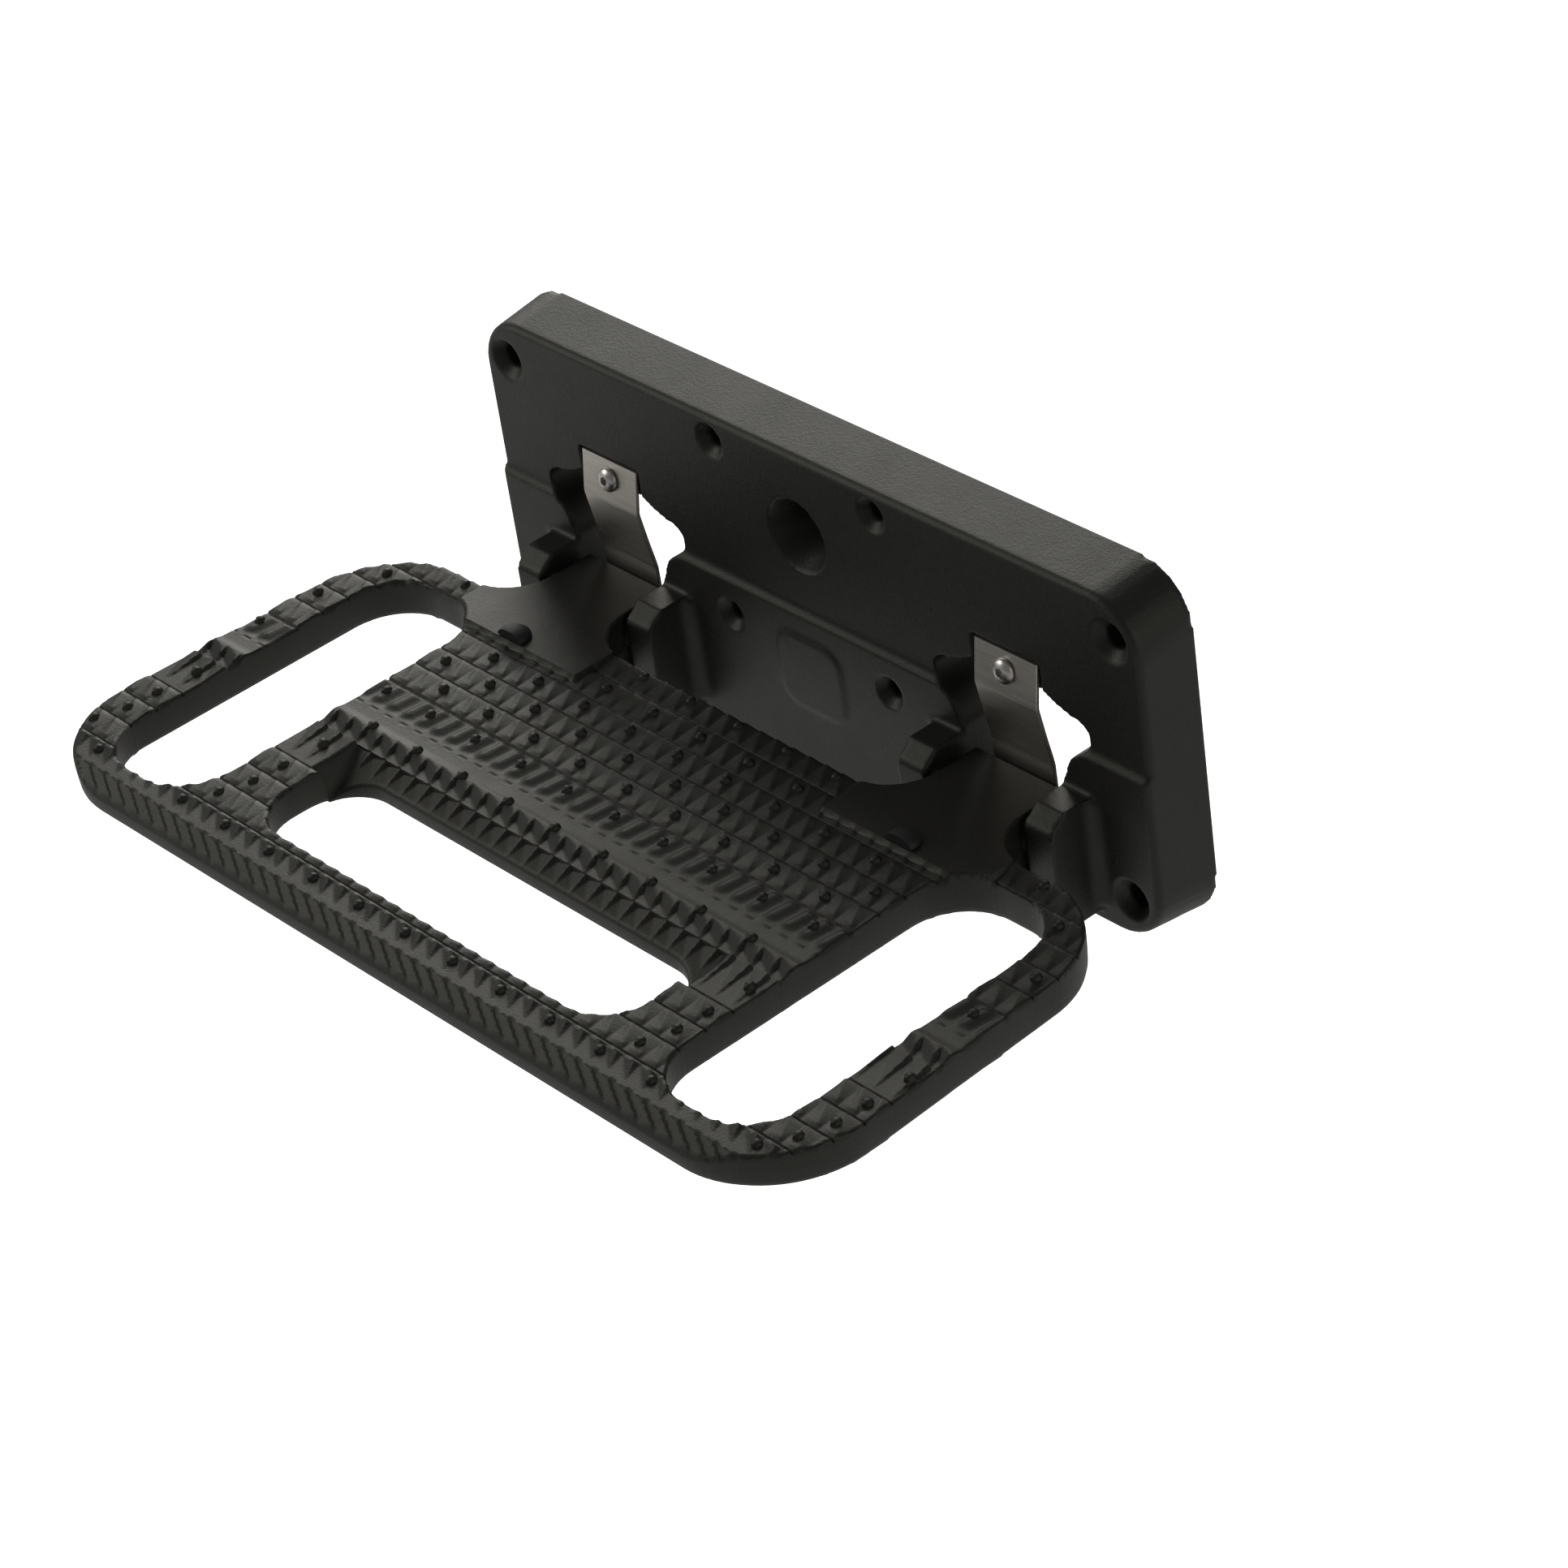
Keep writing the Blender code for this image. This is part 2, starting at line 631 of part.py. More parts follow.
def make_washer(name, x, material):
    """A plain washer behind the seat."""
    low = LEAF_THICK + GAP + SEAT_WALL + GAP
    ring = turned(name, "y", (0, 0), ((5 * MM, low), (5 * MM, low + WASHER_THICK)))
    inner = SCREW_DIAMETER / 2 + GAP
    cut(ring, turned("hole", "y", (0, 0), ((inner, low - MM), (inner, low + 3 * MM))))
    ring.data.transform(clamp_frame(x))
    return finish(ring, material)


def make_nut(name, x, material):
    """A hexagon nut on the screw's end."""
    low = LEAF_THICK + SEAT_WALL + WASHER_THICK + 3 * GAP
    nut = prism(name, "y", hexagon(NUT_ACROSS), low, low + NUT_HEIGHT)
    inner = SCREW_DIAMETER / 2 + GAP
    cut(nut, turned("hole", "y", (0, 0), ((inner, low - MM), (inner, low + 6 * MM))))
    nut.data.transform(clamp_frame(x))
    return finish(nut, material)


def make_pin(name, x, material):
    """A hinge pin with chamfered ends."""
    radius = PIN_DIAMETER / 2
    low = x - LUG_OUTER + GAP
    high = x + LUG_OUTER - PIN_BLIND - GAP
    bevel = 0.7 * MM
    pin = turned(name, "x", (PIN_Y, PIN_Z), (
        (radius - bevel, low), (radius, low + bevel), (radius, high - bevel), (radius - bevel, high),
    ))
    return finish(pin, material)


def make_bush(name, x, outward, material):
    """A flanged bush in one end of a tongue, with its flange against the lug."""
    inner = PIN_DIAMETER / 2 + GAP
    outer = inner + BUSH_WALL
    face = x + outward * (TONGUE_HALF + GAP)
    places = (face + outward * BUSH_FLANGE, face, face - outward * BUSH_LENGTH)
    bush = turned(name, "x", (PIN_Y, PIN_Z), (
        (WASHER_OUTER / 2, places[0]), (WASHER_OUTER / 2, places[1]),
        (outer, places[1]), (outer, places[2]),
    ))
    low, high = sorted((places[0], places[2]))
    cut(bush, turned("hole", "x", (PIN_Y, PIN_Z), ((inner, low - MM), (inner, high + MM))))
    return finish(bush, material)


def make_spacer(name, x, outward, material):
    """A thrust washer between a bush's flange and its lug."""
    inner = PIN_DIAMETER / 2 + GAP
    near = x + outward * (TONGUE_HALF + BUSH_FLANGE + 2 * GAP)
    far = x + outward * (LUG_INNER - GAP)
    low, high = sorted((near, far))
    ring = turned(name, "x", (PIN_Y, PIN_Z), ((WASHER_OUTER / 2, low), (WASHER_OUTER / 2, high)))
    cut(ring, turned("hole", "x", (PIN_Y, PIN_Z), ((inner, low - MM), (inner, high + MM))))
    return finish(ring, material)


def make_set_screw(name, x, material):
    """A headless screw that comes up under the pin, with a socket in its lower end."""
    centre = (x - (LUG_INNER + LUG_OUTER) / 2, PIN_Y)
    top = PIN_Z - PIN_DIAMETER / 2 - GAP
    low = top - 10 * MM
    screw = turned(name, "z", centre, ((2 * MM, low), (2.5 * MM, low + 0.5 * MM), (2.5 * MM, top - MM), (1.5 * MM, top)))
    socket = [(centre[0] + u, centre[1] + v) for u, v in hexagon(2.5 * MM)]
    cut(screw, prism("socket", "z", socket, low - MM, low + 2.5 * MM))
    return finish(screw, material)


def make_bumper(name, x, material):
    """A dome on a stem, its front cut flat where the tread's grip pattern starts."""
    rise = BUMPER_HEIGHT
    base = PAD_TOP + GAP
    profile = [(BUMPER_STEM / 2, PAD_TOP - 5.5 * MM), (BUMPER_STEM / 2, base), (BUMPER_RADIUS, base)]
    profile += [(BUMPER_RADIUS * cos(radians(a)), base + rise * sin(radians(a))) for a in (20, 40, 60, 78)]
    dome = turned(name, "z", (x, BUMPER_Y), profile)
    front = prism("front", "x", (
        (BUMPER_Y - 20 * MM, base - 0.01 * MM), (PAD_FRONT + 0.4 * MM, base - 0.01 * MM),
        (PAD_FRONT + 0.4 * MM, base + 20 * MM), (BUMPER_Y - 20 * MM, base + 20 * MM),
    ), x - 20 * MM, x + 20 * MM)
    return finish(cut(dome, front), material)


def main():
    """Build every piece and hang it on the body that it moves with."""
    for item in list(bpy.data.objects):
        bpy.data.objects.remove(item)
    coat = make_material("black_powder_coat", (0.018, 0.018, 0.018), 0.0, 0.5)
    tread_coat = make_material("black_powder_coat_tread", (0.02, 0.02, 0.018), 0.0, 0.55)
    stainless = make_material("stainless_steel", (0.55, 0.53, 0.50), 1.0, 0.3)
    zinc = make_material("zinc_plated_steel", (0.6, 0.6, 0.6), 1.0, 0.35)
    polymer = make_material("bearing_polymer", (0.03, 0.03, 0.03), 0.0, 0.45)
    nylon = make_material("black_nylon", (0.03, 0.03, 0.03), 0.0, 0.5)
    rubber = make_material("black_rubber", (0.028, 0.026, 0.029), 0.0, 0.6)

    frame = empty("mount_frame", (0, 0, 0))
    fold = empty("tread_fold_axis", (0, PIN_Y, PIN_Z))
    hang(make_plate(coat), frame)
    hang(make_tread(tread_coat), fold)
    for side_name, side in SIDES:
        x = side * HINGE_X
        hang(make_leaf(f"leaf_spring_{side_name}", x, stainless), frame)
        hang(make_spring_screw(f"spring_screw_{side_name}", x, stainless), frame)
        hang(make_washer(f"spring_washer_{side_name}", x, zinc), frame)
        hang(make_nut(f"spring_nut_{side_name}", x, zinc), frame)
        hang(make_pin(f"hinge_pin_{side_name}", x, stainless), frame)
        hang(make_set_screw(f"pin_set_screw_{side_name}", x, zinc), frame)
        hang(make_bumper(f"bumper_{side_name}", x, rubber), fold)
        for end_name, outward in (("inner", -side), ("outer", side)):
            hang(make_bush(f"hinge_bush_{side_name}_{end_name}", x, outward, polymer), fold)
            hang(make_spacer(f"thrust_washer_{side_name}_{end_name}", x, outward, nylon), frame)


main()
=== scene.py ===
"""Looks of the fold-down tailgate step: casting detail, grip pattern, finishes, light and camera.

Lengths in the mesh code are millimetres in the part's own frame; UNIT turns them into metres.
"""

import bmesh
import bpy
import numpy as np
from math import atan2, cos, pi, radians, sin
from mathutils import Matrix, Vector


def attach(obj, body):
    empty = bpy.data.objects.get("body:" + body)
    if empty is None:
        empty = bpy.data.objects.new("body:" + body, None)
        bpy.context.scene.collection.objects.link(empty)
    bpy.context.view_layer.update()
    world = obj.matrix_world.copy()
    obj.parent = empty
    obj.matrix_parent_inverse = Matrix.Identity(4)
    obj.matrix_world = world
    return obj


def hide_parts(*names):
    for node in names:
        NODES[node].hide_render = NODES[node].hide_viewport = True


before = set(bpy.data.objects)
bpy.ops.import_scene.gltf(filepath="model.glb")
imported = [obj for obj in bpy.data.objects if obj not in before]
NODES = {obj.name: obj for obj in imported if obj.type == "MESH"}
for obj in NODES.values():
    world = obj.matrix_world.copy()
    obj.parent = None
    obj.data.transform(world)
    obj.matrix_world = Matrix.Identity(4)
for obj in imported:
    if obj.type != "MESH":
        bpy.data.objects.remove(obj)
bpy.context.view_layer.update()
UNIT = 0.001
SIDES = (("left", -1), ("right", 1))

# Hinges
HINGE_X = 104.0
PIN_Y = -40.0
PIN_Z = -28.5
TONGUE_HALF = 21.8
KNUCKLE_RADIUS = 17.0
PROUD_FRONT = -27.0

# Tread
TREAD_HALF = 201.5
TREAD_REAR_HALF = 197.5
TREAD_FRONT = -231.5
TREAD_REAR = -63.5
TREAD_CORNER = 42.0
TREAD_REAR_CORNER = 39.0
TREAD_BOTTOM = -38.0
PAD_TOP = -20.5
PAD_FRONT = -83.0
PAD_INNER = 66.0
PAD_OUTER = 142.0
TONGUE_FILLET = 20.0
SIDE_SLOT = (125.0, 179.6, -217.8, -74.8, 22.0)
FRONT_SLOT = (98.3, -209.0, -163.5, 19.5)
BUMPER_Y = -80.0
BUMPER_RADIUS = 6.8
BUMPER_HEIGHT = 3.6
EDGE_ROUND = 1.1
HOLLOW_DEPTH = 7.5
HOLLOW_WALL = 5.0
UNDER_INSET = 1.9
# Side wall of the tread, from the top edge down: share of the depth, inset
WALL_RINGS = ((0.12, -0.12), (0.45, 0.0), (0.8, 0.25), (0.93, 0.8), (1.0, UNDER_INSET))

# Grip pattern: one cell along X, rows along Y, and the places where the rows change
CELL_X = 8.53
ROW_Y = 12.2
FIRST_GROOVE = -74.2
FRONT_GROOVE = -176.3
GROOVE_DEPTH = 0.8
GROOVE_HALF = 0.5
FACET_RISE = 0.75
TOP_LEVEL = -23.1
RIB_START = -122.9
RIB_END = -137.6
RIB_VALLEY = 0.6
RIB_HEIGHT = 1.1
SLIT_DEPTH = 0.35
CREST_Y = -147.2
CREST_Z = -22.8
CREST_FALL = 1.7
CREST_RIB = 0.55
STEP_Y = -156.3
LIP_Y = -163.5
DROP_TOP = -26.7
DROP_SLOPE = 0.5
DROP_FIN = 2.0
DROP_HALF = 103.0
DROP_BLEND = 7.0
FIN_RIDGE = 0.87
SIDE_TEETH_Z = -24.3
BAR_FIN = 1.5
BARS_Z = -24.5
BAR_TEETH_START = -214.0
BAR_TEETH_Z = -24.7
NOSE_Y = -225.0
NOSE_TOP = -25.1
NOSE_SLOPE = 0.8
NOSE_RIB = 0.9
NOSE_RIB_END = -230.2

# Studs: one every few cells, none on the steep drop
STUD_CELLS = 3
STUD_PROFILE = ((2.5, 0), (2.1, 1.3), (1.65, 2.1), (0.9, 2.5))
STUD_SINK = 0.8
STEEP_HALF = 110
STEEP_FRONT = -212

# Plate
PLATE_VOXEL = 1.0
PLATE_PASSES = 3

# Leaf springs
LEAF_WIDTH = 30.5
LEAF_THICK = 1.5
LEAF_TOP = (-24.8, 27.5)
LEAF_BEND = (-27.2, 10.5)
LEAF_KNEE = (-22.6, -16.0)
LEAF_TIP = (-22.4, -40.0)
LEAF_EDGE = 0.35
LEAF_RELIEF = 0.25

# Button-head screws
SCREW_Z = 20.0
HEAD_RADIUS = 4.75
HEAD_HEIGHT = 2.75
SHANK_RADIUS = 2.45
SOCKET_HALF = 1.5

# Floor, light and camera, in metres
FLOOR_HALF = 30.0
FLOOR_LEVEL = -0.42
FLOOR_GLOW = 0.72
CARD_GLOW = 0.3
CARD_LIFT = 0.01
WORLD_STRENGTH = 0.16
WARM = (1.0, 0.985, 0.95)
AIM = (0, -0.11, -0.01)
LAMPS = (
    ("key_rear_left", (-1.56, 1.31, 0.95), (1.3, 1.3), 26),
    ("fill_front_left", (-1.5, -1.1, 0.9), (1.2, 1.2), 11),
    ("side_right", (1.9, 0.2, 0.7), (1.2, 1.2), 5),
)
LENS = 115.55
CAMERA_PLACE = (1.18773, -0.94953, 0.95386)
CAMERA_TURN = (55.4968, 7.1861, 47.8505)


# ---------------------------------------------------------------- outlines

def arc(centre, radius, start, end, steps):
    """Points along a circular arc, angles in degrees."""
    angles = [radians(start + (end - start) * i / steps) for i in range(steps + 1)]
    return [(centre[0] + radius * cos(a), centre[1] + radius * sin(a)) for a in angles]


def rounded_box(x_low, x_high, y_low, y_high, radius, steps=12):
    """Outline of a rectangle with round corners, anticlockwise."""
    corners = (
        (x_high - radius, y_high - radius, 0),
        (x_low + radius, y_high - radius, 90),
        (x_low + radius, y_low + radius, 180),
        (x_high - radius, y_low + radius, 270),
    )
    outline = []
    for x, y, start in corners:
        outline += arc((x, y), radius, start, start + 90, steps)
    return outline


def tread_outline():
    """The tread seen from above, with the two tongues that run back to the hinges."""
    radius = TREAD_CORNER
    rear_radius = TREAD_REAR_CORNER
    fillet = TONGUE_FILLET
    back = PIN_Y + KNUCKLE_RADIUS - 0.3
    right = HINGE_X + TONGUE_HALF - 0.2
    left = HINGE_X - TONGUE_HALF + 0.2
    outline = arc((TREAD_HALF - radius, TREAD_FRONT + radius), radius, -90, 0, 20)
    outline += arc((TREAD_REAR_HALF - rear_radius, TREAD_REAR - rear_radius), rear_radius, 3, 90, 20)
    outline += arc((right + fillet, TREAD_REAR + fillet), fillet, 270, 180, 10)
    outline += arc((right - 1.5, back - 1.5), 1.5, 0, 90, 3)
    outline += arc((left + 1.5, back - 1.5), 1.5, 90, 180, 3)
    outline += arc((left - fillet, TREAD_REAR + fillet), fillet, 0, -90, 10)
    mirrored = [(-x, y) for x, y in reversed(outline)]
    return outline + mirrored


def boundary_distance(px, py, polygon):
    """Signed distance to a polygon, negative inside, and the nearest boundary point."""
    corners = np.array(polygon, float)
    following = np.roll(corners, -1, axis=0)
    best = np.full(px.shape, 1e18)
    near_x = np.zeros_like(px)
    near_y = np.zeros_like(py)
    inside = np.zeros(px.shape, bool)
    for (ax, ay), (bx, by) in zip(corners, following):
        dx, dy = bx - ax, by - ay
        length = dx * dx + dy * dy
        if length < 1e-12:
            continue
        share = np.clip(((px - ax) * dx + (py - ay) * dy) / length, 0, 1)
        qx, qy = ax + share * dx, ay + share * dy
        gap = (px - qx) ** 2 + (py - qy) ** 2
        closer = gap < best
        best = np.where(closer, gap, best)
        near_x = np.where(closer, qx, near_x)
        near_y = np.where(closer, qy, near_y)
        if dy:
            crosses = ((ay > py) != (by > py)) & (px < ax + (py - ay) * dx / dy)
            inside ^= crosses
    distance = np.sqrt(best)
    return np.where(inside, -distance, distance), near_x, near_y


def region_distance(px, py, outer, holes):
    """As boundary_distance, for an outline with holes."""
    distance, near_x, near_y = boundary_distance(px, py, outer)
    for hole in holes:
        gap, hx, hy = boundary_distance(px, py, hole)
        closer = -gap > distance
        distance = np.where(closer, -gap, distance)
        near_x = np.where(closer, hx, near_x)
        near_y = np.where(closer, hy, near_y)
    return distance, near_x, near_y


# ---------------------------------------------------------------- grip pattern

def smooth_step(t):
    """0 below 0, 1 above 1, and smooth between."""
    t = np.clip(t, 0, 1)
    return t * t * (3 - 2 * t)


def cell(x, offset, slant, y, y_start):
    """Place across a cell, 0 to 1, for columns that lean along X as they run forward."""
    turn = (x - offset - slant * (y_start - y)) / CELL_X
    return turn - np.floor(turn)


def fins(u, v, ridge):
    """A row of fins: each rises to a ridge on its right and narrows to a point at v = 1."""
    return np.maximum(0, np.minimum(u / ridge, (1 - u) / (1 - ridge)) - v)


def facets(x, y, first):
    """A row pattern of low facets with a diagonal ridge, and the grooves between the rows."""
    row = (first - y) / ROW_Y
    index = np.floor(row)
    v = row - index
    u = x / CELL_X + 0.5 * (index % 2)
    u = u - np.floor(u)
    ridge = np.minimum(u / np.maximum(v, 0.06), (1 - u) / np.maximum(1 - v, 0.06))
    off = np.abs((v + 0.5) % 1.0 - 0.5) * ROW_Y
    groove = GROOVE_DEPTH * np.clip(1 - off / GROOVE_HALF, 0, 1)
    fade = smooth_step((off - GROOVE_HALF) / 1.6)
    return FACET_RISE * np.minimum(ridge, 1.0) * (0.35 + 0.65 * fade), groove


def ribs(x, y):
    """Soft ribs, steeper on their left, with a small slit in front of each."""
    turn = cell(x, 20.5, -0.12, y, RIB_START)
    right = 0.5 + 0.5 * np.cos(pi * turn / RIB_VALLEY)
    left = 0.5 - 0.5 * np.cos(pi * (turn - RIB_VALLEY) / (1 - RIB_VALLEY))
    ends = smooth_step((RIB_START - 0.5 - y) / 1.6) * smooth_step((y - RIB_END) / 4.5)
    across = np.abs(cell(x, 6.0 - CELL_X / 2, 0, y, 0) - 0.5) * CELL_X
    slit = np.clip(1 - np.abs(y - RIB_END + 1.2) / 0.5, 0, 1) * (across < 2.0)
    return RIB_HEIGHT * np.where(turn < RIB_VALLEY, right, left) * ends - SLIT_DEPTH * slit


def crest_teeth(x, y):
    """Height just in front of the crest: faces that fall to flat triangles, with thin ribs between."""
    u = cell(x, 5.6, 0.45, y, CREST_Y)
    ahead = CREST_Y - y
    start = 2.4 * u
    end = 3.8 + 6.4 * np.minimum(u, 0.68)
    fall = np.clip((ahead - start) / (end - start), 0, 1)
    rib = CREST_RIB * np.clip(1 - np.abs(u - 0.86) / 0.1, 0, 1) * np.clip((ahead - 2.4) / 1.5, 0, 1)
    return CREST_Z - CREST_FALL * fall + rib


def drop_teeth(x, y):
    """Height of the steep toothed face that falls to the front slot."""
    u = cell(x, 10.4, -0.3, y, STEP_Y)
    v = np.clip((STEP_Y - y) / (STEP_Y - LIP_Y), 0, 1)
    return DROP_TOP - DROP_SLOPE * (STEP_Y - y) + DROP_FIN * fins(u, v, FIN_RIDGE)


def side_teeth(x, y):
    """Height of the long teeth on the bars beside the slots."""
    u = cell(x, 10.4, 0.12, y, STEP_Y)
    v = np.clip((STEP_Y - y) / (STEP_Y - FRONT_GROOVE), 0, 1)
    return SIDE_TEETH_Z + BAR_FIN * fins(u, v, FIN_RIDGE)


def nose_teeth(x, y):
    """Height of the front bar's teeth and of the slanted ribs on its sloping nose."""
    u = cell(x, 2.0, 0.5, y, BAR_TEETH_START)
    v = np.clip((BAR_TEETH_START - y) / 8.5, 0, 1)
    bar = BAR_TEETH_Z + BAR_FIN * fins(u, v, 0.8)
    turn = cell(x, 0.0, 2.1, y, NOSE_Y)
    rib = NOSE_RIB * np.minimum(turn / 0.8, (1 - turn) / 0.2) * (y > NOSE_RIB_END)
    slope = NOSE_TOP - NOSE_SLOPE * (NOSE_Y - y) + rib
    return np.where(y > NOSE_Y, bar, np.minimum(slope, bar))


def grip_height(x, y):
    """Height of the patterned top."""
    sweep = np.interp(y, (RIB_END - 2, RIB_START, -86, -74, -66), (0.2, -0.2, 0.0, 0.5, 1.3))
    rise, groove = facets(x, y, FIRST_GROOVE)
    rear = TOP_LEVEL + sweep + rise - groove
    rib_floor = TOP_LEVEL - 0.9 + 0.4 * smooth_step((RIB_END + 3 - y) / 4) + ribs(x, y)
    band = np.interp(y, (CREST_Y, CREST_Y + 3, RIB_END - 3), (CREST_Z, CREST_Z - 0.7, TOP_LEVEL - 0.5))
    height = np.where(y > RIB_START - 0.4, rear, np.where(y > RIB_END - 2.5, rib_floor, band))
    height = np.where(y < CREST_Y, crest_teeth(x, y), height)
    inner = smooth_step((DROP_HALF - np.abs(x)) / DROP_BLEND)
    lower = drop_teeth(x, y) * inner + side_teeth(x, y) * (1 - inner)
    height = np.where(y < STEP_Y, lower, height)
    rise, groove = facets(x, y, FRONT_GROOVE)
    bars = BARS_Z + rise - groove + 0.2 * smooth_step((y + 190) / 14)
    height = np.where(y < FRONT_GROOVE + 0.5, bars, height)
    return np.where(y < BAR_TEETH_START, nose_teeth(x, y), height)


def pad_mask(x, y):
    """1 on the smooth pads in front of the hinges, 0 on the pattern."""
    ax = np.abs(x)
    inner = smooth_step((ax - PAD_INNER) / 0.7 + 0.5)
    outer = smooth_step((PAD_OUTER - ax) / 0.7 + 0.5)
    front = smooth_step((y - PAD_FRONT) / 0.8 + 0.5)
    return inner * outer * front


def tread_top(x, y):
    """Height of the tread's top."""
    mask = pad_mask(x, y)
    knuckle = np.clip(y - PIN_Y, 0, KNUCKLE_RADIUS - 0.2)
    round_back = PIN_Z + np.sqrt(np.maximum(KNUCKLE_RADIUS ** 2 - knuckle ** 2, 0))
    pad = np.minimum(PAD_TOP, round_back)
    return pad * mask + grip_height(x, y) * (1 - mask)


def tread_underside(x, y):
    """Height of the tread's underside: hollows between ribs, and the round under each knuckle."""
    level = np.full_like(x, TREAD_BOTTOM)
    knuckle = np.clip(y - PIN_Y, 0, KNUCKLE_RADIUS)
    round_back = PIN_Z - np.sqrt(np.maximum(KNUCKLE_RADIUS ** 2 - knuckle ** 2, 0))
    tongue = np.abs(np.abs(x) - HINGE_X) < TONGUE_HALF + 0.5
    level = np.where(tongue & (y > PIN_Y + 12), np.maximum(level, round_back), level)
    for hollow in underside_hollows():
        distance, _, _ = boundary_distance(x, y, hollow)
        level = level + HOLLOW_DEPTH * smooth_step(-distance / 3.0)
    return level


def underside_hollows():
    """Outlines of the hollows under the tread."""
    wall = HOLLOW_WALL
    outer = SIDE_SLOT[0] - wall
    bay = (2 * outer - 3 * wall) / 4
    hollows = []
    for index in range(4):
        low = -outer + index * (bay + wall)
        hollows.append(rounded_box(low, low + bay, FRONT_SLOT[2] + wall, PAD_FRONT - wall, 6, 4))
    hollows.append(rounded_box(-95, 95, TREAD_FRONT + 6, FRONT_SLOT[1] - 4, 5, 4))
    return hollows


# ---------------------------------------------------------------- mesh building

def new_object(name, data):
    """An object linked into the scene."""
    item = bpy.data.objects.new(name, data)
    bpy.context.scene.collection.objects.link(item)
    return item


def make_object(name, verts, faces, smooth_angle):
    """A linked mesh object from millimetre points; faces is a list or an array of quads."""
    mesh = bpy.data.meshes.new(name)
    mesh.from_pydata([tuple(v) for v in np.asarray(verts, float) * UNIT], [], [tuple(f) for f in faces])
    mesh.validate()
    mesh.update()
    mesh.shade_smooth()
    mesh.set_sharp_from_angle(angle=radians(smooth_angle))
    return new_object(name, mesh)


def object_from_bmesh(name, bm, smooth_angle):
    """A linked mesh object from a millimetre bmesh, which is freed."""
    bmesh.ops.recalc_face_normals(bm, faces=bm.faces)
    bm.transform(Matrix.Scale(UNIT, 4))
    mesh = bpy.data.meshes.new(name)
    bm.to_mesh(mesh)
    bm.free()
    mesh.shade_smooth()
    mesh.set_sharp_from_angle(angle=radians(smooth_angle))
    return new_object(name, mesh)


def cut_grid(xs, ys, outer, holes):
    """A grid kept inside an outline, its border moved onto it: points, distances, quads, border edges."""
    gx, gy = np.meshgrid(xs, ys, indexing="ij")
    distance, near_x, near_y = region_distance(gx.ravel(), gy.ravel(), outer, holes)
    count_x, count_y = len(xs), len(ys)
    grid = distance.reshape(count_x, count_y)
    middle = (grid[:-1, :-1] + grid[1:, :-1] + grid[1:, 1:] + grid[:-1, 1:]) / 4
    keep = middle < 0
    number = np.arange(count_x * count_y).reshape(count_x, count_y)
    quads = np.stack([number[:-1, :-1], number[1:, :-1], number[1:, 1:], number[:-1, 1:]], axis=-1)[keep]
    uses = np.zeros(count_x * count_y, int)
    np.add.at(uses, quads.ravel(), 1)
    border = (uses > 0) & (uses < 4)
    px, py = gx.ravel().copy(), gy.ravel().copy()
    px[border], py[border] = near_x[border], near_y[border]
    distance = np.where(border, 0, np.minimum(distance, 0))
    sides = np.concatenate([quads[:, [0, 1]], quads[:, [1, 2]], quads[:, [2, 3]], quads[:, [3, 0]]])
    key = np.sort(sides, axis=1)
    key = key[:, 0].astype(np.int64) * (count_x * count_y) + key[:, 1]
    _, first, times = np.unique(key, return_index=True, return_counts=True)
    edges = sides[first[times == 1]]
    used = np.nonzero(uses)[0]
    renumber = np.full(count_x * count_y, -1)
    renumber[used] = np.arange(len(used))
    return px[used], py[used], distance[used], renumber[quads], renumber[edges]


def border_normals(px, py, edges, total):
    """Outward unit normals at border points, from their two border edges."""
    ex = px[edges[:, 1]] - px[edges[:, 0]]
    ey = py[edges[:, 1]] - py[edges[:, 0]]
    normal = np.zeros((total, 2))
    for column in (0, 1):
        np.add.at(normal[:, 0], edges[:, column], ey)
        np.add.at(normal[:, 1], edges[:, column], -ex)
    length = np.maximum(np.hypot(normal[:, 0], normal[:, 1]), 1e-9)
    return normal / length[:, None]


def spaced(low, high, step):
    """Evenly spaced numbers with a spacing close to step."""
    return np.linspace(low, high, int(round((high - low) / step)) + 1)


def row_lines(high, step):
    """Grid lines along Y that fall on each groove, and on the edges between the zones of the pattern."""
    grooves = [FIRST_GROOVE - index * ROW_Y for index in range(5)]
    grooves += [FRONT_GROOVE - index * ROW_Y for index in range(4)]
    stops = []
    for middle in grooves:
        stops += [middle - GROOVE_HALF, middle, middle + GROOVE_HALF]
    stops += [RIB_END - 1.1, CREST_Y, STEP_Y, STEP_Y - 0.15, LIP_Y, BAR_TEETH_START, NOSE_Y]
    stops += [TREAD_FRONT - step, high]
    stops = sorted(stops)
    lines = []
    for low, top in zip(stops, stops[1:]):
        lines += list(spaced(low, top, step))[:-1] if top - low > step * 0.75 else [low]
    return np.array(lines + [high])


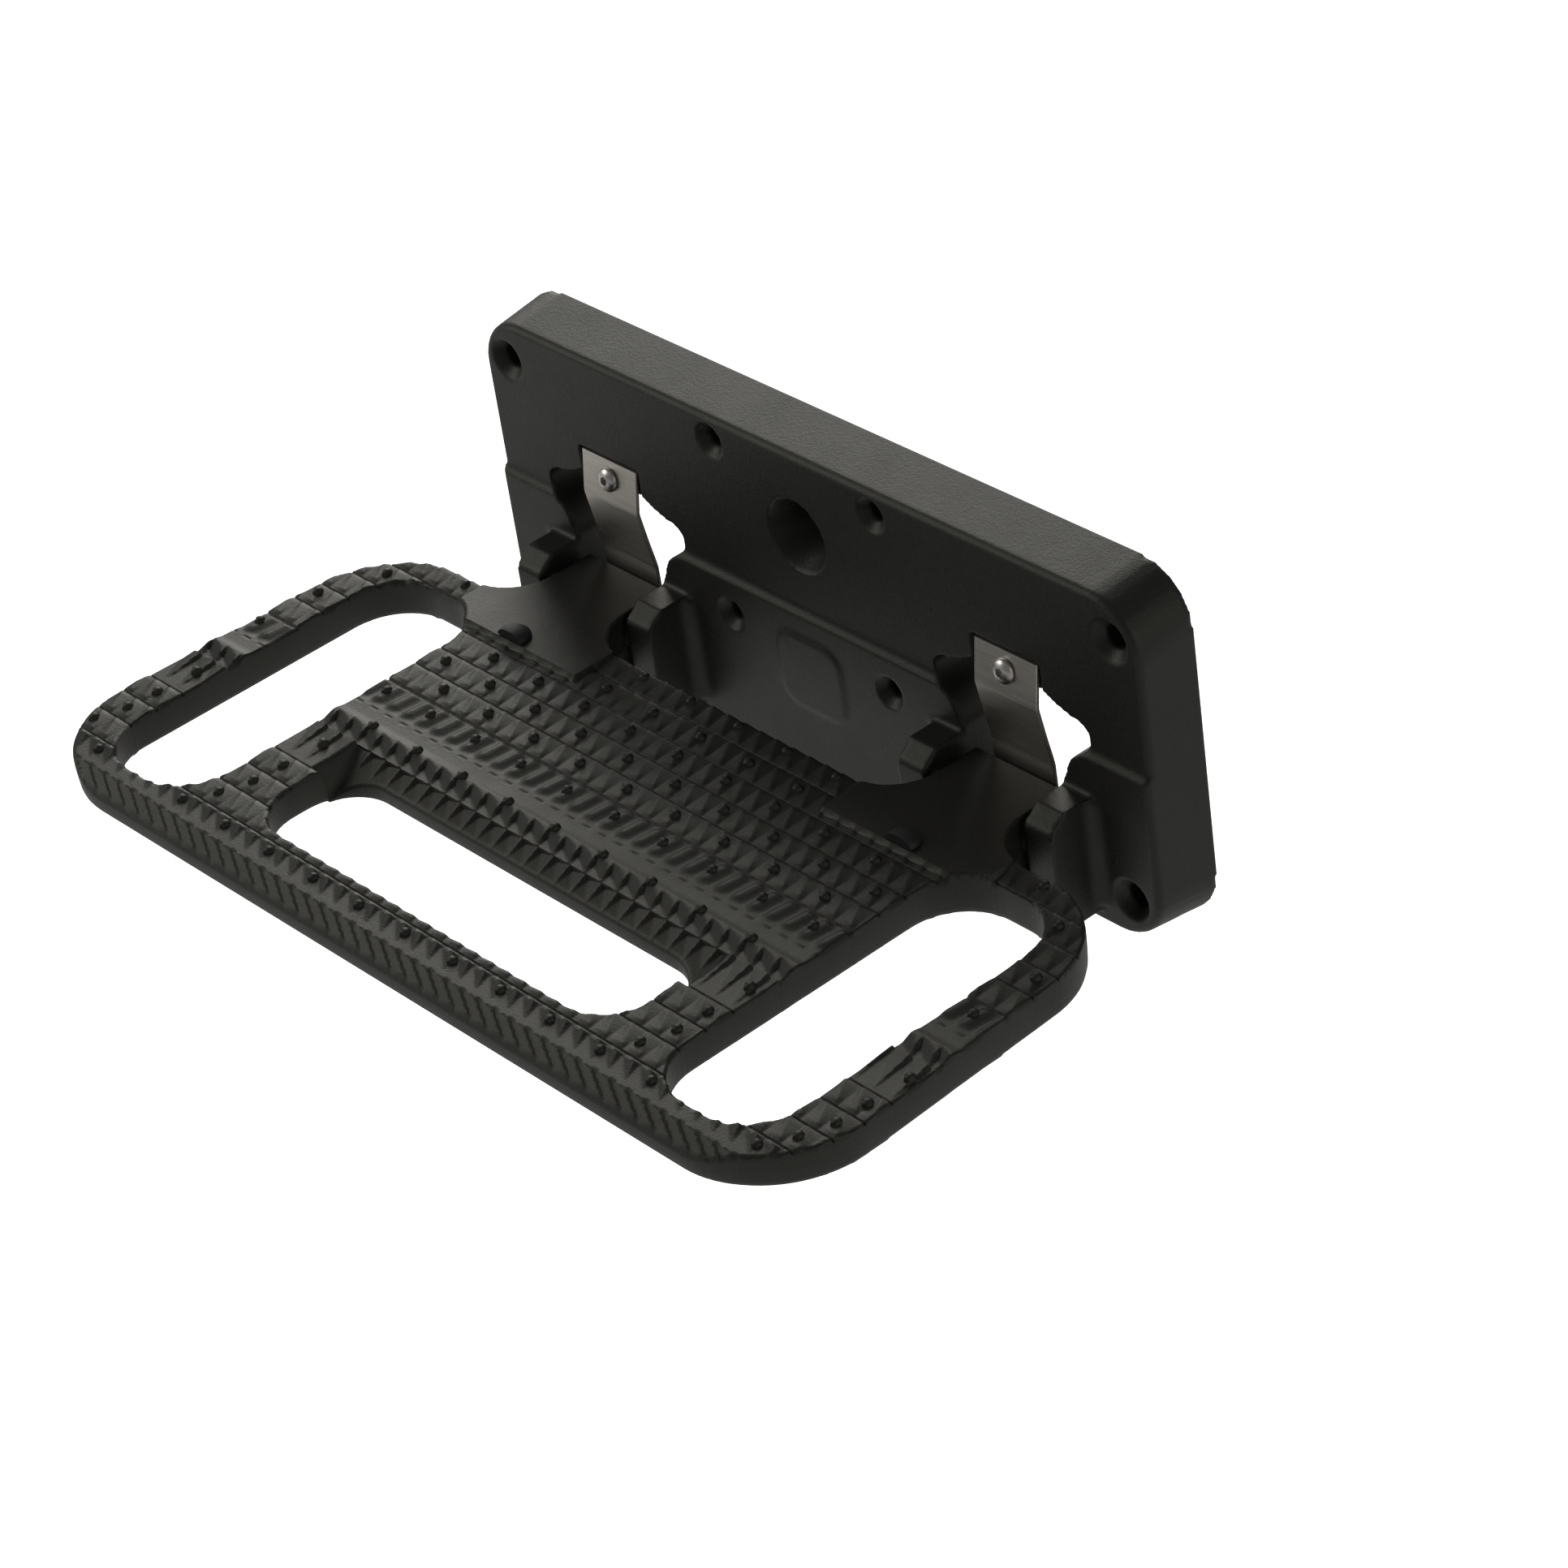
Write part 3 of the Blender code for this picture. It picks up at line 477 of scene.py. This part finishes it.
def shell(top_height, under_height, outer, holes, fine, coarse, edge_round):
    """A closed slab between two height functions inside an outline: points and faces."""
    xs, ys = fine
    px, py, distance, quads, edges = cut_grid(xs, ys, outer, holes)
    drop = np.clip(1 + distance / edge_round, 0, 1)
    pz = top_height(px, py) - edge_round * (1 - np.sqrt(1 - (0.96 * drop) ** 2))
    points = [np.stack([px, py, pz], 1)]
    faces = [quads]
    total = len(px)
    rim = np.unique(edges)
    place = np.full(total, -1)
    place[rim] = np.arange(len(rim))
    normal = border_normals(px, py, edges, total)[rim]
    top = pz[rim]
    bottom = under_height(px[rim], py[rim])
    bottom = np.minimum(bottom, top - 0.2)
    depth = top - bottom
    previous = rim
    offset = total
    for share, inset in WALL_RINGS:
        ring_x = px[rim] - normal[:, 0] * inset
        ring_y = py[rim] - normal[:, 1] * inset
        points.append(np.stack([ring_x, ring_y, top - depth * share], 1))
        current = np.arange(len(rim)) + offset
        a, b = place[edges[:, 0]], place[edges[:, 1]]
        faces.append(np.stack([previous[b], previous[a], current[a], current[b]], 1))
        previous = current
        offset += len(rim)
    xs, ys = coarse
    ux, uy, under_distance, under_quads, under_edges = cut_grid(xs, ys, outer, holes)
    on_rim = under_distance > -1e-9
    under_normal = border_normals(ux, uy, under_edges, len(ux))
    ux = np.where(on_rim, ux - UNDER_INSET * under_normal[:, 0], ux)
    uy = np.where(on_rim, uy - UNDER_INSET * under_normal[:, 1], uy)
    points.append(np.stack([ux, uy, under_height(ux, uy)], 1))
    faces.append(under_quads[:, ::-1] + offset)
    return np.concatenate(points), np.concatenate(faces)


def revolve(profile, steps, axis_frame):
    """A turned body about local Z: profile is ((radius, height), ...) from bottom to top, closed by caps."""
    verts = []
    faces = []
    for radius, height in profile:
        for index in range(steps):
            angle = 2 * pi * index / steps
            verts.append(axis_frame @ Vector((radius * cos(angle), radius * sin(angle), height)))
    for ring in range(len(profile) - 1):
        for index in range(steps):
            after = (index + 1) % steps
            low, high = ring * steps, (ring + 1) * steps
            faces.append((low + index, low + after, high + after, high + index))
    faces.append(tuple(reversed(range(steps))))
    faces.append(tuple(range((len(profile) - 1) * steps, len(profile) * steps)))
    return verts, faces


def join_parts(name, parts, smooth_angle):
    """One object from several (points, faces) lists."""
    verts = []
    faces = []
    for part_verts, part_faces in parts:
        start = len(verts)
        verts += [tuple(v) for v in part_verts]
        faces += [tuple(int(i) + start for i in face) for face in part_faces]
    return make_object(name, verts, faces, smooth_angle)


# ---------------------------------------------------------------- tread

def stud_places():
    """Middle of each raised stud of the grip pattern."""
    rows = [(FIRST_GROOVE - ROW_Y * (index + 0.4), shift)
            for index, shift in ((-1, 5.4), (0, -1.5), (1, 0.0), (2, 12.8), (3, 1.0))]
    rows += [(-129.0, 10.0), (CREST_Y + 0.4, -1.2)]
    side_rows = [(-164.5, 17.6), (-181.5, 16.0), (-194.5, 15.5), (-206.6, 11.0), (-217.2, 3.0)]
    points = []
    for step in range(-9, 10):
        middle = step * STUD_CELLS * CELL_X
        points += [(middle + shift, y) for y, shift in rows + side_rows]
    points = np.array(points)
    distance, _, _ = region_distance(points[:, 0], points[:, 1], tread_outline(), tread_holes())
    clear = (distance < -2.6) & (pad_mask(points[:, 0], points[:, 1]) < 0.01)
    near_pad = pad_mask(points[:, 0], points[:, 1] + 3.0) > 0.5
    drop = (points[:, 1] < CREST_Y - 2) & (points[:, 1] > STEEP_FRONT)
    steep = (np.abs(points[:, 0]) < STEEP_HALF) & drop
    return points[clear & ~near_pad & ~steep]


def tread_holes():
    """Outlines of the three slots."""
    low, high, front, rear, radius = SIDE_SLOT
    half, slot_front, slot_rear, slot_radius = FRONT_SLOT
    holes = [rounded_box(low, high, front, rear, radius), rounded_box(-high, -low, front, rear, radius)]
    holes.append(rounded_box(-half, half, slot_front, slot_rear, slot_radius))
    return holes


def stud_mesh(x, y):
    """A small six-sided stud with a blunt point."""
    base = float(grip_height(np.array([x]), np.array([y]))[0]) - STUD_SINK
    place = Matrix.Translation((x, y, base)) @ Matrix.Rotation(radians(12), 4, "Z")
    return revolve(STUD_PROFILE, 6, place)


def tongue_heel(x):
    """The part of a tongue below its top: the knuckle's underside and the heel that stops the fold.

    It is closed: the bore for the pin is in the solids only.
    """
    radius = KNUCKLE_RADIUS - 0.15
    profile = [(PIN_Y - 24, TREAD_BOTTOM + 4), (PIN_Y - 24, PAD_TOP - 3)]
    profile += arc((PIN_Y, PIN_Z), radius, 12, -55, 14)
    heel = PROUD_FRONT - 0.4
    profile += [(heel - 0.3, -44.5), (heel, -47.0), (heel, -56.5), (heel - 1.5, -58.0), (heel - 6.5, -58.0)]
    profile += [(PIN_Y - 12.5, -42.0), (PIN_Y - 17, TREAD_BOTTOM - 0.5), (PIN_Y - 22, TREAD_BOTTOM + 1.5)]
    bm = bmesh.new()
    rings = []
    half = TONGUE_HALF - 0.15
    for side, inset in ((-half, 0.8), (-half + 0.8, 0), (half - 0.8, 0), (half, 0.8)):
        ring = []
        centre = Vector((PIN_Y - 5, PIN_Z - 4))
        for y, z in profile:
            away = Vector((y, z)) - centre
            moved = centre + away * (1 - inset / max(away.length, 1))
            ring.append(bm.verts.new((x + side, moved.x, moved.y)))
        rings.append(ring)
    for low, high in zip(rings, rings[1:]):
        for index in range(len(low)):
            after = (index + 1) % len(low)
            bm.faces.new((low[index], low[after], high[after], high[index]))
    bm.faces.new(rings[0][::-1])
    bm.faces.new(rings[-1])
    bmesh.ops.recalc_face_normals(bm, faces=bm.faces)
    bm.verts.index_update()
    verts = [tuple(v.co) for v in bm.verts]
    faces = [tuple(v.index for v in f.verts) for f in bm.faces]
    bm.free()
    return verts, faces


def build_tread():
    """The tread with its grip pattern, in one object."""
    outer = tread_outline()
    holes = tread_holes()
    fine = (spaced(-TREAD_HALF - 1.5, TREAD_HALF + 1.5, CELL_X / 14), row_lines(-22, 0.7))
    coarse = (spaced(-TREAD_HALF - 3, TREAD_HALF + 3, 2.4), spaced(TREAD_FRONT - 3, -21, 2.4))
    parts = [shell(tread_top, tread_underside, outer, holes, fine, coarse, EDGE_ROUND)]
    parts += [stud_mesh(x, y) for x, y in stud_places()]
    parts += [tongue_heel(side * HINGE_X) for _, side in SIDES]
    return join_parts("tread_casting", parts, 38)


# ---------------------------------------------------------------- plate

def apply_modifiers(item):
    """Replace an object's mesh by its evaluated one."""
    bpy.context.view_layer.update()
    evaluated = item.evaluated_get(bpy.context.evaluated_depsgraph_get())
    mesh = bpy.data.meshes.new_from_object(evaluated)
    item.modifiers.clear()
    item.data = mesh
    return item


def copy_node(node, name):
    """A new object with a copy of a CAD node's mesh."""
    mesh = NODES[node].data.copy()
    mesh.materials.clear()
    return new_object(name, mesh)


def soften(item, voxel, passes):
    """Give a casting the small even rounds of a sand mould: remesh it and relax the surface."""
    bm = bmesh.new()
    bm.from_mesh(item.data)
    bmesh.ops.remove_doubles(bm, verts=bm.verts, dist=1e-7)
    bm.to_mesh(item.data)
    bm.free()
    remesh = item.modifiers.new("remesh", "REMESH")
    remesh.mode = "VOXEL"
    remesh.voxel_size = voxel * UNIT
    remesh.use_smooth_shade = True
    relax = item.modifiers.new("relax", "SMOOTH")
    relax.factor = 0.5
    relax.iterations = passes
    return apply_modifiers(item)


def build_plate():
    """The mounting plate's casting."""
    return soften(copy_node("mount_plate", "plate_casting"), PLATE_VOXEL, PLATE_PASSES)


# ---------------------------------------------------------------- springs and screws

def spline(points, steps):
    """A smooth line through points, by Catmull-Rom pieces."""
    result = []
    padded = [points[0]] + list(points) + [points[-1]]
    for index in range(1, len(padded) - 2):
        p0, p1, p2, p3 = (Vector(p) for p in padded[index - 1:index + 3])
        for step in range(steps):
            t = step / steps
            result.append(0.5 * ((2 * p1) + (p2 - p0) * t + (2 * p0 - 5 * p1 + 4 * p2 - p3) * t * t
                                 + (3 * p1 - p0 - 3 * p2 + p3) * t ** 3))
    result.append(Vector(points[-1]))
    return result


def leaf_line():
    """Middle line of a leaf's front face, from its top edge to its tip, with rounded bends."""
    (ty, tz), (by, bz), (ky, kz), (ey, ez) = LEAF_TOP, LEAF_BEND, LEAF_KNEE, LEAF_TIP
    points = [(ty, tz), (ty + (by - ty) * 0.5, tz + (bz - tz) * 0.5)]
    points += [(by + 0.35, bz + 2.6), (by + 0.1, bz), (by + 0.45, bz - 2.6)]
    points += [((by + ky) / 2, (bz + kz) / 2), (ky - 0.35, kz + 3), (ky, kz - 2), (ey, ez)]
    return spline(points, 6)


def build_leaf(name, x):
    """A bent strip with softened long edges; the screw's head covers the place of its hole."""
    line = leaf_line()
    bm = bmesh.new()
    half = LEAF_WIDTH / 2
    columns = ((-half, LEAF_RELIEF), (-half + LEAF_EDGE, 0), (half - LEAF_EDGE, 0), (half, LEAF_RELIEF))
    front = []
    back = []
    for index, point in enumerate(line):
        ahead = line[min(index + 1, len(line) - 1)] - line[max(index - 1, 0)]
        across = Vector((-ahead.y, ahead.x)).normalized()
        if across.x < 0:
            across = -across
        far = point + across * LEAF_THICK
        front.append([bm.verts.new((x + c, point.x + relief, point.y)) for c, relief in columns])
        back.append([bm.verts.new((x + c, far.x - relief, far.y)) for c, relief in columns])
    last = len(columns) - 1
    for index in range(len(line) - 1):
        for c in range(last):
            bm.faces.new((front[index][c], front[index][c + 1], front[index + 1][c + 1], front[index + 1][c]))
            bm.faces.new((back[index][c], back[index + 1][c], back[index + 1][c + 1], back[index][c + 1]))
        bm.faces.new((front[index][0], front[index + 1][0], back[index + 1][0], back[index][0]))
        bm.faces.new((front[index][last], back[index][last], back[index + 1][last], front[index + 1][last]))
    for end in (0, len(line) - 1):
        for c in range(last):
            bm.faces.new((front[end][c], front[end][c + 1], back[end][c + 1], back[end][c]))
    return object_from_bmesh(name, bm, 35)


def clamp_frame(x):
    """Frame on a screw's axis at the leaf's front face: local Z points out of the leaf, to the front."""
    share = (SCREW_Z - LEAF_BEND[1]) / (LEAF_TOP[1] - LEAF_BEND[1])
    y = LEAF_BEND[0] + (LEAF_TOP[0] - LEAF_BEND[0]) * share
    tilt = atan2(LEAF_BEND[0] - LEAF_TOP[0], LEAF_TOP[1] - LEAF_BEND[1])
    return Matrix.Translation((x, y, SCREW_Z)) @ Matrix.Rotation(tilt + pi / 2, 4, "X")


def build_screw(name, x):
    """A button head with a hexagon socket, and its shank."""
    place = clamp_frame(x)
    steps = 48
    head = []
    for angle in (4, 14, 26, 38, 50, 62, 70):
        rise = 0.18 + 0.82 * sin(radians(angle))
        head.append((HEAD_RADIUS * cos(radians(angle)), 0.3 + HEAD_HEIGHT * rise))
    profile = [(1.9, -14.5), (SHANK_RADIUS, -13.9), (SHANK_RADIUS, 0.25), (4.5, 0.25), (HEAD_RADIUS, 0.45)]
    profile += head
    verts, faces = revolve(profile, steps, place)
    faces = faces[:-1]
    ring = (len(profile) - 1) * steps
    top = profile[-1][1]
    corner = SOCKET_HALF / cos(pi / 6)

    def hexagon_radius(angle):
        """Distance to a hexagon's side at an angle."""
        local = (angle + pi / 6) % (pi / 3) - pi / 6
        return corner * cos(pi / 6) / cos(local)

    start = len(verts)
    for depth, scale in ((0.12, 1.06), (-0.05, 1.0), (-1.6, 0.98)):
        for index in range(steps):
            angle = 2 * pi * index / steps
            radius = hexagon_radius(angle) * scale
            verts.append(place @ Vector((radius * cos(angle), radius * sin(angle), top + depth)))
    rings = [ring, start, start + steps, start + 2 * steps]
    for low, high in zip(rings, rings[1:]):
        for index in range(steps):
            after = (index + 1) % steps
            faces.append((low + index, low + after, high + after, high + index))
    faces.append(tuple(range(start + 2 * steps, start + 3 * steps)))
    return make_object(name, verts, faces, 40)


def build_bumper(name, x):
    """A rubber half dome with a small foot and a stem, cut flat in front."""
    base = PAD_TOP + 0.3
    front = PAD_FRONT + 0.9
    bm = bmesh.new()
    profile = [(2.4, -5.5), (2.4, 0.0), (BUMPER_RADIUS, 0.0), (BUMPER_RADIUS, 0.25)]
    for angle in range(8, 88, 8):
        rise = (BUMPER_HEIGHT - 0.3) * sin(radians(angle))
        profile.append((BUMPER_RADIUS * cos(radians(angle)) - 0.1, 0.3 + rise))
    place = Matrix.Translation((x, BUMPER_Y, base))
    verts, faces = revolve(profile, 40, place)
    for vert in verts:
        bm.verts.new(vert)
    bm.verts.ensure_lookup_table()
    for face in faces:
        bm.faces.new([bm.verts[i] for i in face])
    cut = bmesh.ops.bisect_plane(bm, geom=bm.verts[:] + bm.edges[:] + bm.faces[:], dist=1e-5,
                                 plane_co=(x, front, base), plane_no=(0, -1, 0), clear_outer=True)
    rim = [e for e in cut["geom_cut"] if isinstance(e, bmesh.types.BMEdge)]
    bmesh.ops.holes_fill(bm, edges=rim)
    return object_from_bmesh(name, bm, 40)


# ---------------------------------------------------------------- materials

def new_material(name):
    """A material with its node tree and Principled shader."""
    material = bpy.data.materials.new(name)
    material.use_nodes = True
    tree = material.node_tree
    return material, tree, tree.nodes["Principled BSDF"]


def object_noise(tree, scale, detail, roughness=0.5):
    """A noise texture in object space: scale is in cycles per metre."""
    coordinates = tree.nodes.new("ShaderNodeTexCoord")
    noise = tree.nodes.new("ShaderNodeTexNoise")
    noise.inputs["Scale"].default_value = scale
    noise.inputs["Detail"].default_value = detail
    noise.inputs["Roughness"].default_value = roughness
    tree.links.new(coordinates.outputs["Object"], noise.inputs["Vector"])
    return noise


def ramp(tree, source, stops):
    """A colour ramp over a value."""
    node = tree.nodes.new("ShaderNodeValToRGB")
    while len(node.color_ramp.elements) < len(stops):
        node.color_ramp.elements.new(0.5)
    for element, (place, colour) in zip(node.color_ramp.elements, stops):
        element.position = place
        element.color = (*colour, 1)
    tree.links.new(source, node.inputs["Fac"])
    return node


def value_range(tree, source, low, high):
    """A value from 0..1 mapped to low..high."""
    node = tree.nodes.new("ShaderNodeMapRange")
    node.inputs["To Min"].default_value = low
    node.inputs["To Max"].default_value = high
    tree.links.new(source, node.inputs["Value"])
    return node.outputs["Result"]


def bump(tree, sources, shader):
    """Chained bumps: sources are (socket, strength, distance in metres)."""
    previous = None
    for socket, strength, distance in sources:
        node = tree.nodes.new("ShaderNodeBump")
        node.inputs["Strength"].default_value = strength
        node.inputs["Distance"].default_value = distance
        tree.links.new(socket, node.inputs["Height"])
        if previous:
            tree.links.new(previous.outputs["Normal"], node.inputs["Normal"])
        previous = node
    tree.links.new(previous.outputs["Normal"], shader.inputs["Normal"])


def powder_coat(name, dark, light, rough_low, rough_high, grain):
    """Satin black powder coat: fine orange peel, a little colour drift and uneven gloss."""
    material, tree, shader = new_material(name)
    drift = object_noise(tree, 26, 3)
    colours = ramp(tree, drift.outputs["Fac"], ((0.3, dark), (0.72, light)))
    tree.links.new(colours.outputs["Color"], shader.inputs["Base Color"])
    patches = object_noise(tree, 60, 4, 0.6)
    gloss = value_range(tree, patches.outputs["Fac"], rough_low, rough_high)
    tree.links.new(gloss, shader.inputs["Roughness"])
    shader.inputs["Specular IOR Level"].default_value = 0.4
    shader.inputs["Specular Tint"].default_value = (1.0, 1.0, 0.9, 1)
    fine = object_noise(tree, 1500, 2, 0.7)
    peel = object_noise(tree, 700, 2, 0.5)
    bump(tree, ((peel.outputs["Fac"], 0.25, 0.0003), (fine.outputs["Fac"], grain, 0.0003)), shader)
    return material


def brushed_metal(name, colour, roughness, stretch, strength):
    """Metal with fine scratches; stretch squeezes the scratches along each axis."""
    material, tree, shader = new_material(name)
    coordinates = tree.nodes.new("ShaderNodeTexCoord")
    mapping = tree.nodes.new("ShaderNodeMapping")
    mapping.inputs["Scale"].default_value = stretch
    tree.links.new(coordinates.outputs["Object"], mapping.inputs["Vector"])
    noise = tree.nodes.new("ShaderNodeTexNoise")
    noise.inputs["Scale"].default_value = 1.0
    noise.inputs["Detail"].default_value = 4
    tree.links.new(mapping.outputs["Vector"], noise.inputs["Vector"])
    darker = tuple(c * 0.8 for c in colour)
    colours = ramp(tree, noise.outputs["Fac"], ((0.3, darker), (0.7, colour)))
    tree.links.new(colours.outputs["Color"], shader.inputs["Base Color"])
    shader.inputs["Metallic"].default_value = 1.0
    gloss = value_range(tree, noise.outputs["Fac"], roughness - 0.08, roughness + 0.1)
    tree.links.new(gloss, shader.inputs["Roughness"])
    bump(tree, ((noise.outputs["Fac"], strength, 0.0001),), shader)
    return material


def matt(name, dark, light, roughness, scale):
    """Rubber or nylon with a faint grain."""
    material, tree, shader = new_material(name)
    noise = object_noise(tree, scale, 3)
    colours = ramp(tree, noise.outputs["Fac"], ((0.3, dark), (0.7, light)))
    tree.links.new(colours.outputs["Color"], shader.inputs["Base Color"])
    gloss = value_range(tree, noise.outputs["Fac"], roughness - 0.06, roughness + 0.06)
    tree.links.new(gloss, shader.inputs["Roughness"])
    bump(tree, ((noise.outputs["Fac"], 0.2, 0.0001),), shader)
    return material


def set_material(item, material):
    """Give an object one material."""
    item.data.materials.clear()
    item.data.materials.append(material)


# ---------------------------------------------------------------- stage

def area_light(name, location, target, size, power, colour):
    """A soft rectangular lamp aimed at a point."""
    data = bpy.data.lights.new(name, "AREA")
    data.shape = "RECTANGLE"
    data.size, data.size_y = size
    data.energy = power
    data.color = colour
    item = new_object(name, data)
    item.location = location
    item.rotation_euler = (Vector(target) - Vector(location)).to_track_quat("-Z", "Y").to_euler()


def glowing(name, grey, glow):
    """A dull grey surface that gives off a little white light."""
    material, _, shader = new_material(name)
    shader.inputs["Base Color"].default_value = (grey, grey, grey, 1)
    shader.inputs["Roughness"].default_value = 0.9
    shader.inputs["Emission Color"].default_value = (1, 1, 1, 1)
    shader.inputs["Emission Strength"].default_value = glow
    return material


def build_stage():
    """Floor, light and camera."""
    mesh = bpy.data.meshes.new("floor")
    half = FLOOR_HALF
    level = FLOOR_LEVEL
    mesh.from_pydata([(-half, -half, level), (half, -half, level), (half, half, level), (-half, half, level)],
                     [], [(0, 1, 2, 3)])
    floor = new_object("floor", mesh)
    set_material(floor, glowing("pale_floor", 0.92, FLOOR_GLOW))
    floor.visible_glossy = False
    floor.visible_diffuse = False

    card = new_object("bounce_card", mesh.copy())
    card.location.z = CARD_LIFT
    set_material(card, glowing("bounce_white", 0.5, CARD_GLOW))
    card.visible_camera = False
    card.visible_shadow = False

    world = bpy.data.worlds.new("studio")
    world.use_nodes = True
    background = world.node_tree.nodes["Background"]
    background.inputs["Color"].default_value = (1, 1, 1, 1)
    background.inputs["Strength"].default_value = WORLD_STRENGTH
    bpy.context.scene.world = world

    for name, location, size, power in LAMPS:
        area_light(name, location, AIM, size, power, WARM)

    data = bpy.data.cameras.new("camera")
    data.lens = LENS
    data.sensor_width = 36
    data.clip_end = 100
    camera = new_object("camera", data)
    camera.location = CAMERA_PLACE
    camera.rotation_euler = [radians(turn) for turn in CAMERA_TURN]
    bpy.context.scene.camera = camera
    bpy.context.scene.view_settings.view_transform = "Standard"


def main():
    """Build the looks and hang them on the frame."""
    coat = powder_coat("plate_powder_coat", (0.0075, 0.0075, 0.0066), (0.0105, 0.0105, 0.0094),
                       0.44, 0.54, 0.3)
    tread_coat = powder_coat("tread_powder_coat", (0.010, 0.010, 0.0086), (0.0145, 0.0145, 0.0126),
                             0.44, 0.54, 0.35)
    spring_steel = brushed_metal("brushed_spring_steel", (0.62, 0.59, 0.54), 0.4, (60, 60, 2600), 0.15)
    stainless = brushed_metal("bright_stainless", (0.62, 0.60, 0.57), 0.3, (900, 900, 900), 0.05)
    zinc = brushed_metal("zinc_plate", (0.60, 0.61, 0.62), 0.36, (500, 500, 500), 0.08)
    polymer = matt("bearing_polymer", (0.008, 0.008, 0.008), (0.013, 0.013, 0.013), 0.45, 700)
    rubber = matt("bumper_rubber", (0.008, 0.0075, 0.008), (0.013, 0.012, 0.013), 0.6, 900)
    nylon = matt("black_nylon", (0.010, 0.010, 0.010), (0.016, 0.016, 0.016), 0.45, 700)

    tread = build_tread()
    set_material(tread, tread_coat)
    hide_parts("tread_plate")
    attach(tread, "tread")

    plate = build_plate()
    set_material(plate, coat)
    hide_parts("mount_plate")
    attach(plate, "plate")

    for side_name, side in SIDES:
        x = side * HINGE_X
        leaf = build_leaf(f"spring_strip_{side_name}", x)
        set_material(leaf, spring_steel)
        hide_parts(f"leaf_spring_{side_name}")
        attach(leaf, "plate")
        screw = build_screw(f"button_screw_{side_name}", x)
        set_material(screw, stainless)
        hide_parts(f"spring_screw_{side_name}")
        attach(screw, "plate")
        bumper = build_bumper(f"dome_bumper_{side_name}", x)
        set_material(bumper, rubber)
        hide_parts(f"bumper_{side_name}")
        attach(bumper, "tread")
        set_material(NODES[f"hinge_pin_{side_name}"], stainless)
        for node in (f"spring_washer_{side_name}", f"spring_nut_{side_name}", f"pin_set_screw_{side_name}"):
            set_material(NODES[node], zinc)
        for end in ("inner", "outer"):
            set_material(NODES[f"hinge_bush_{side_name}_{end}"], polymer)
            set_material(NODES[f"thrust_washer_{side_name}_{end}"], nylon)

    build_stage()


main()
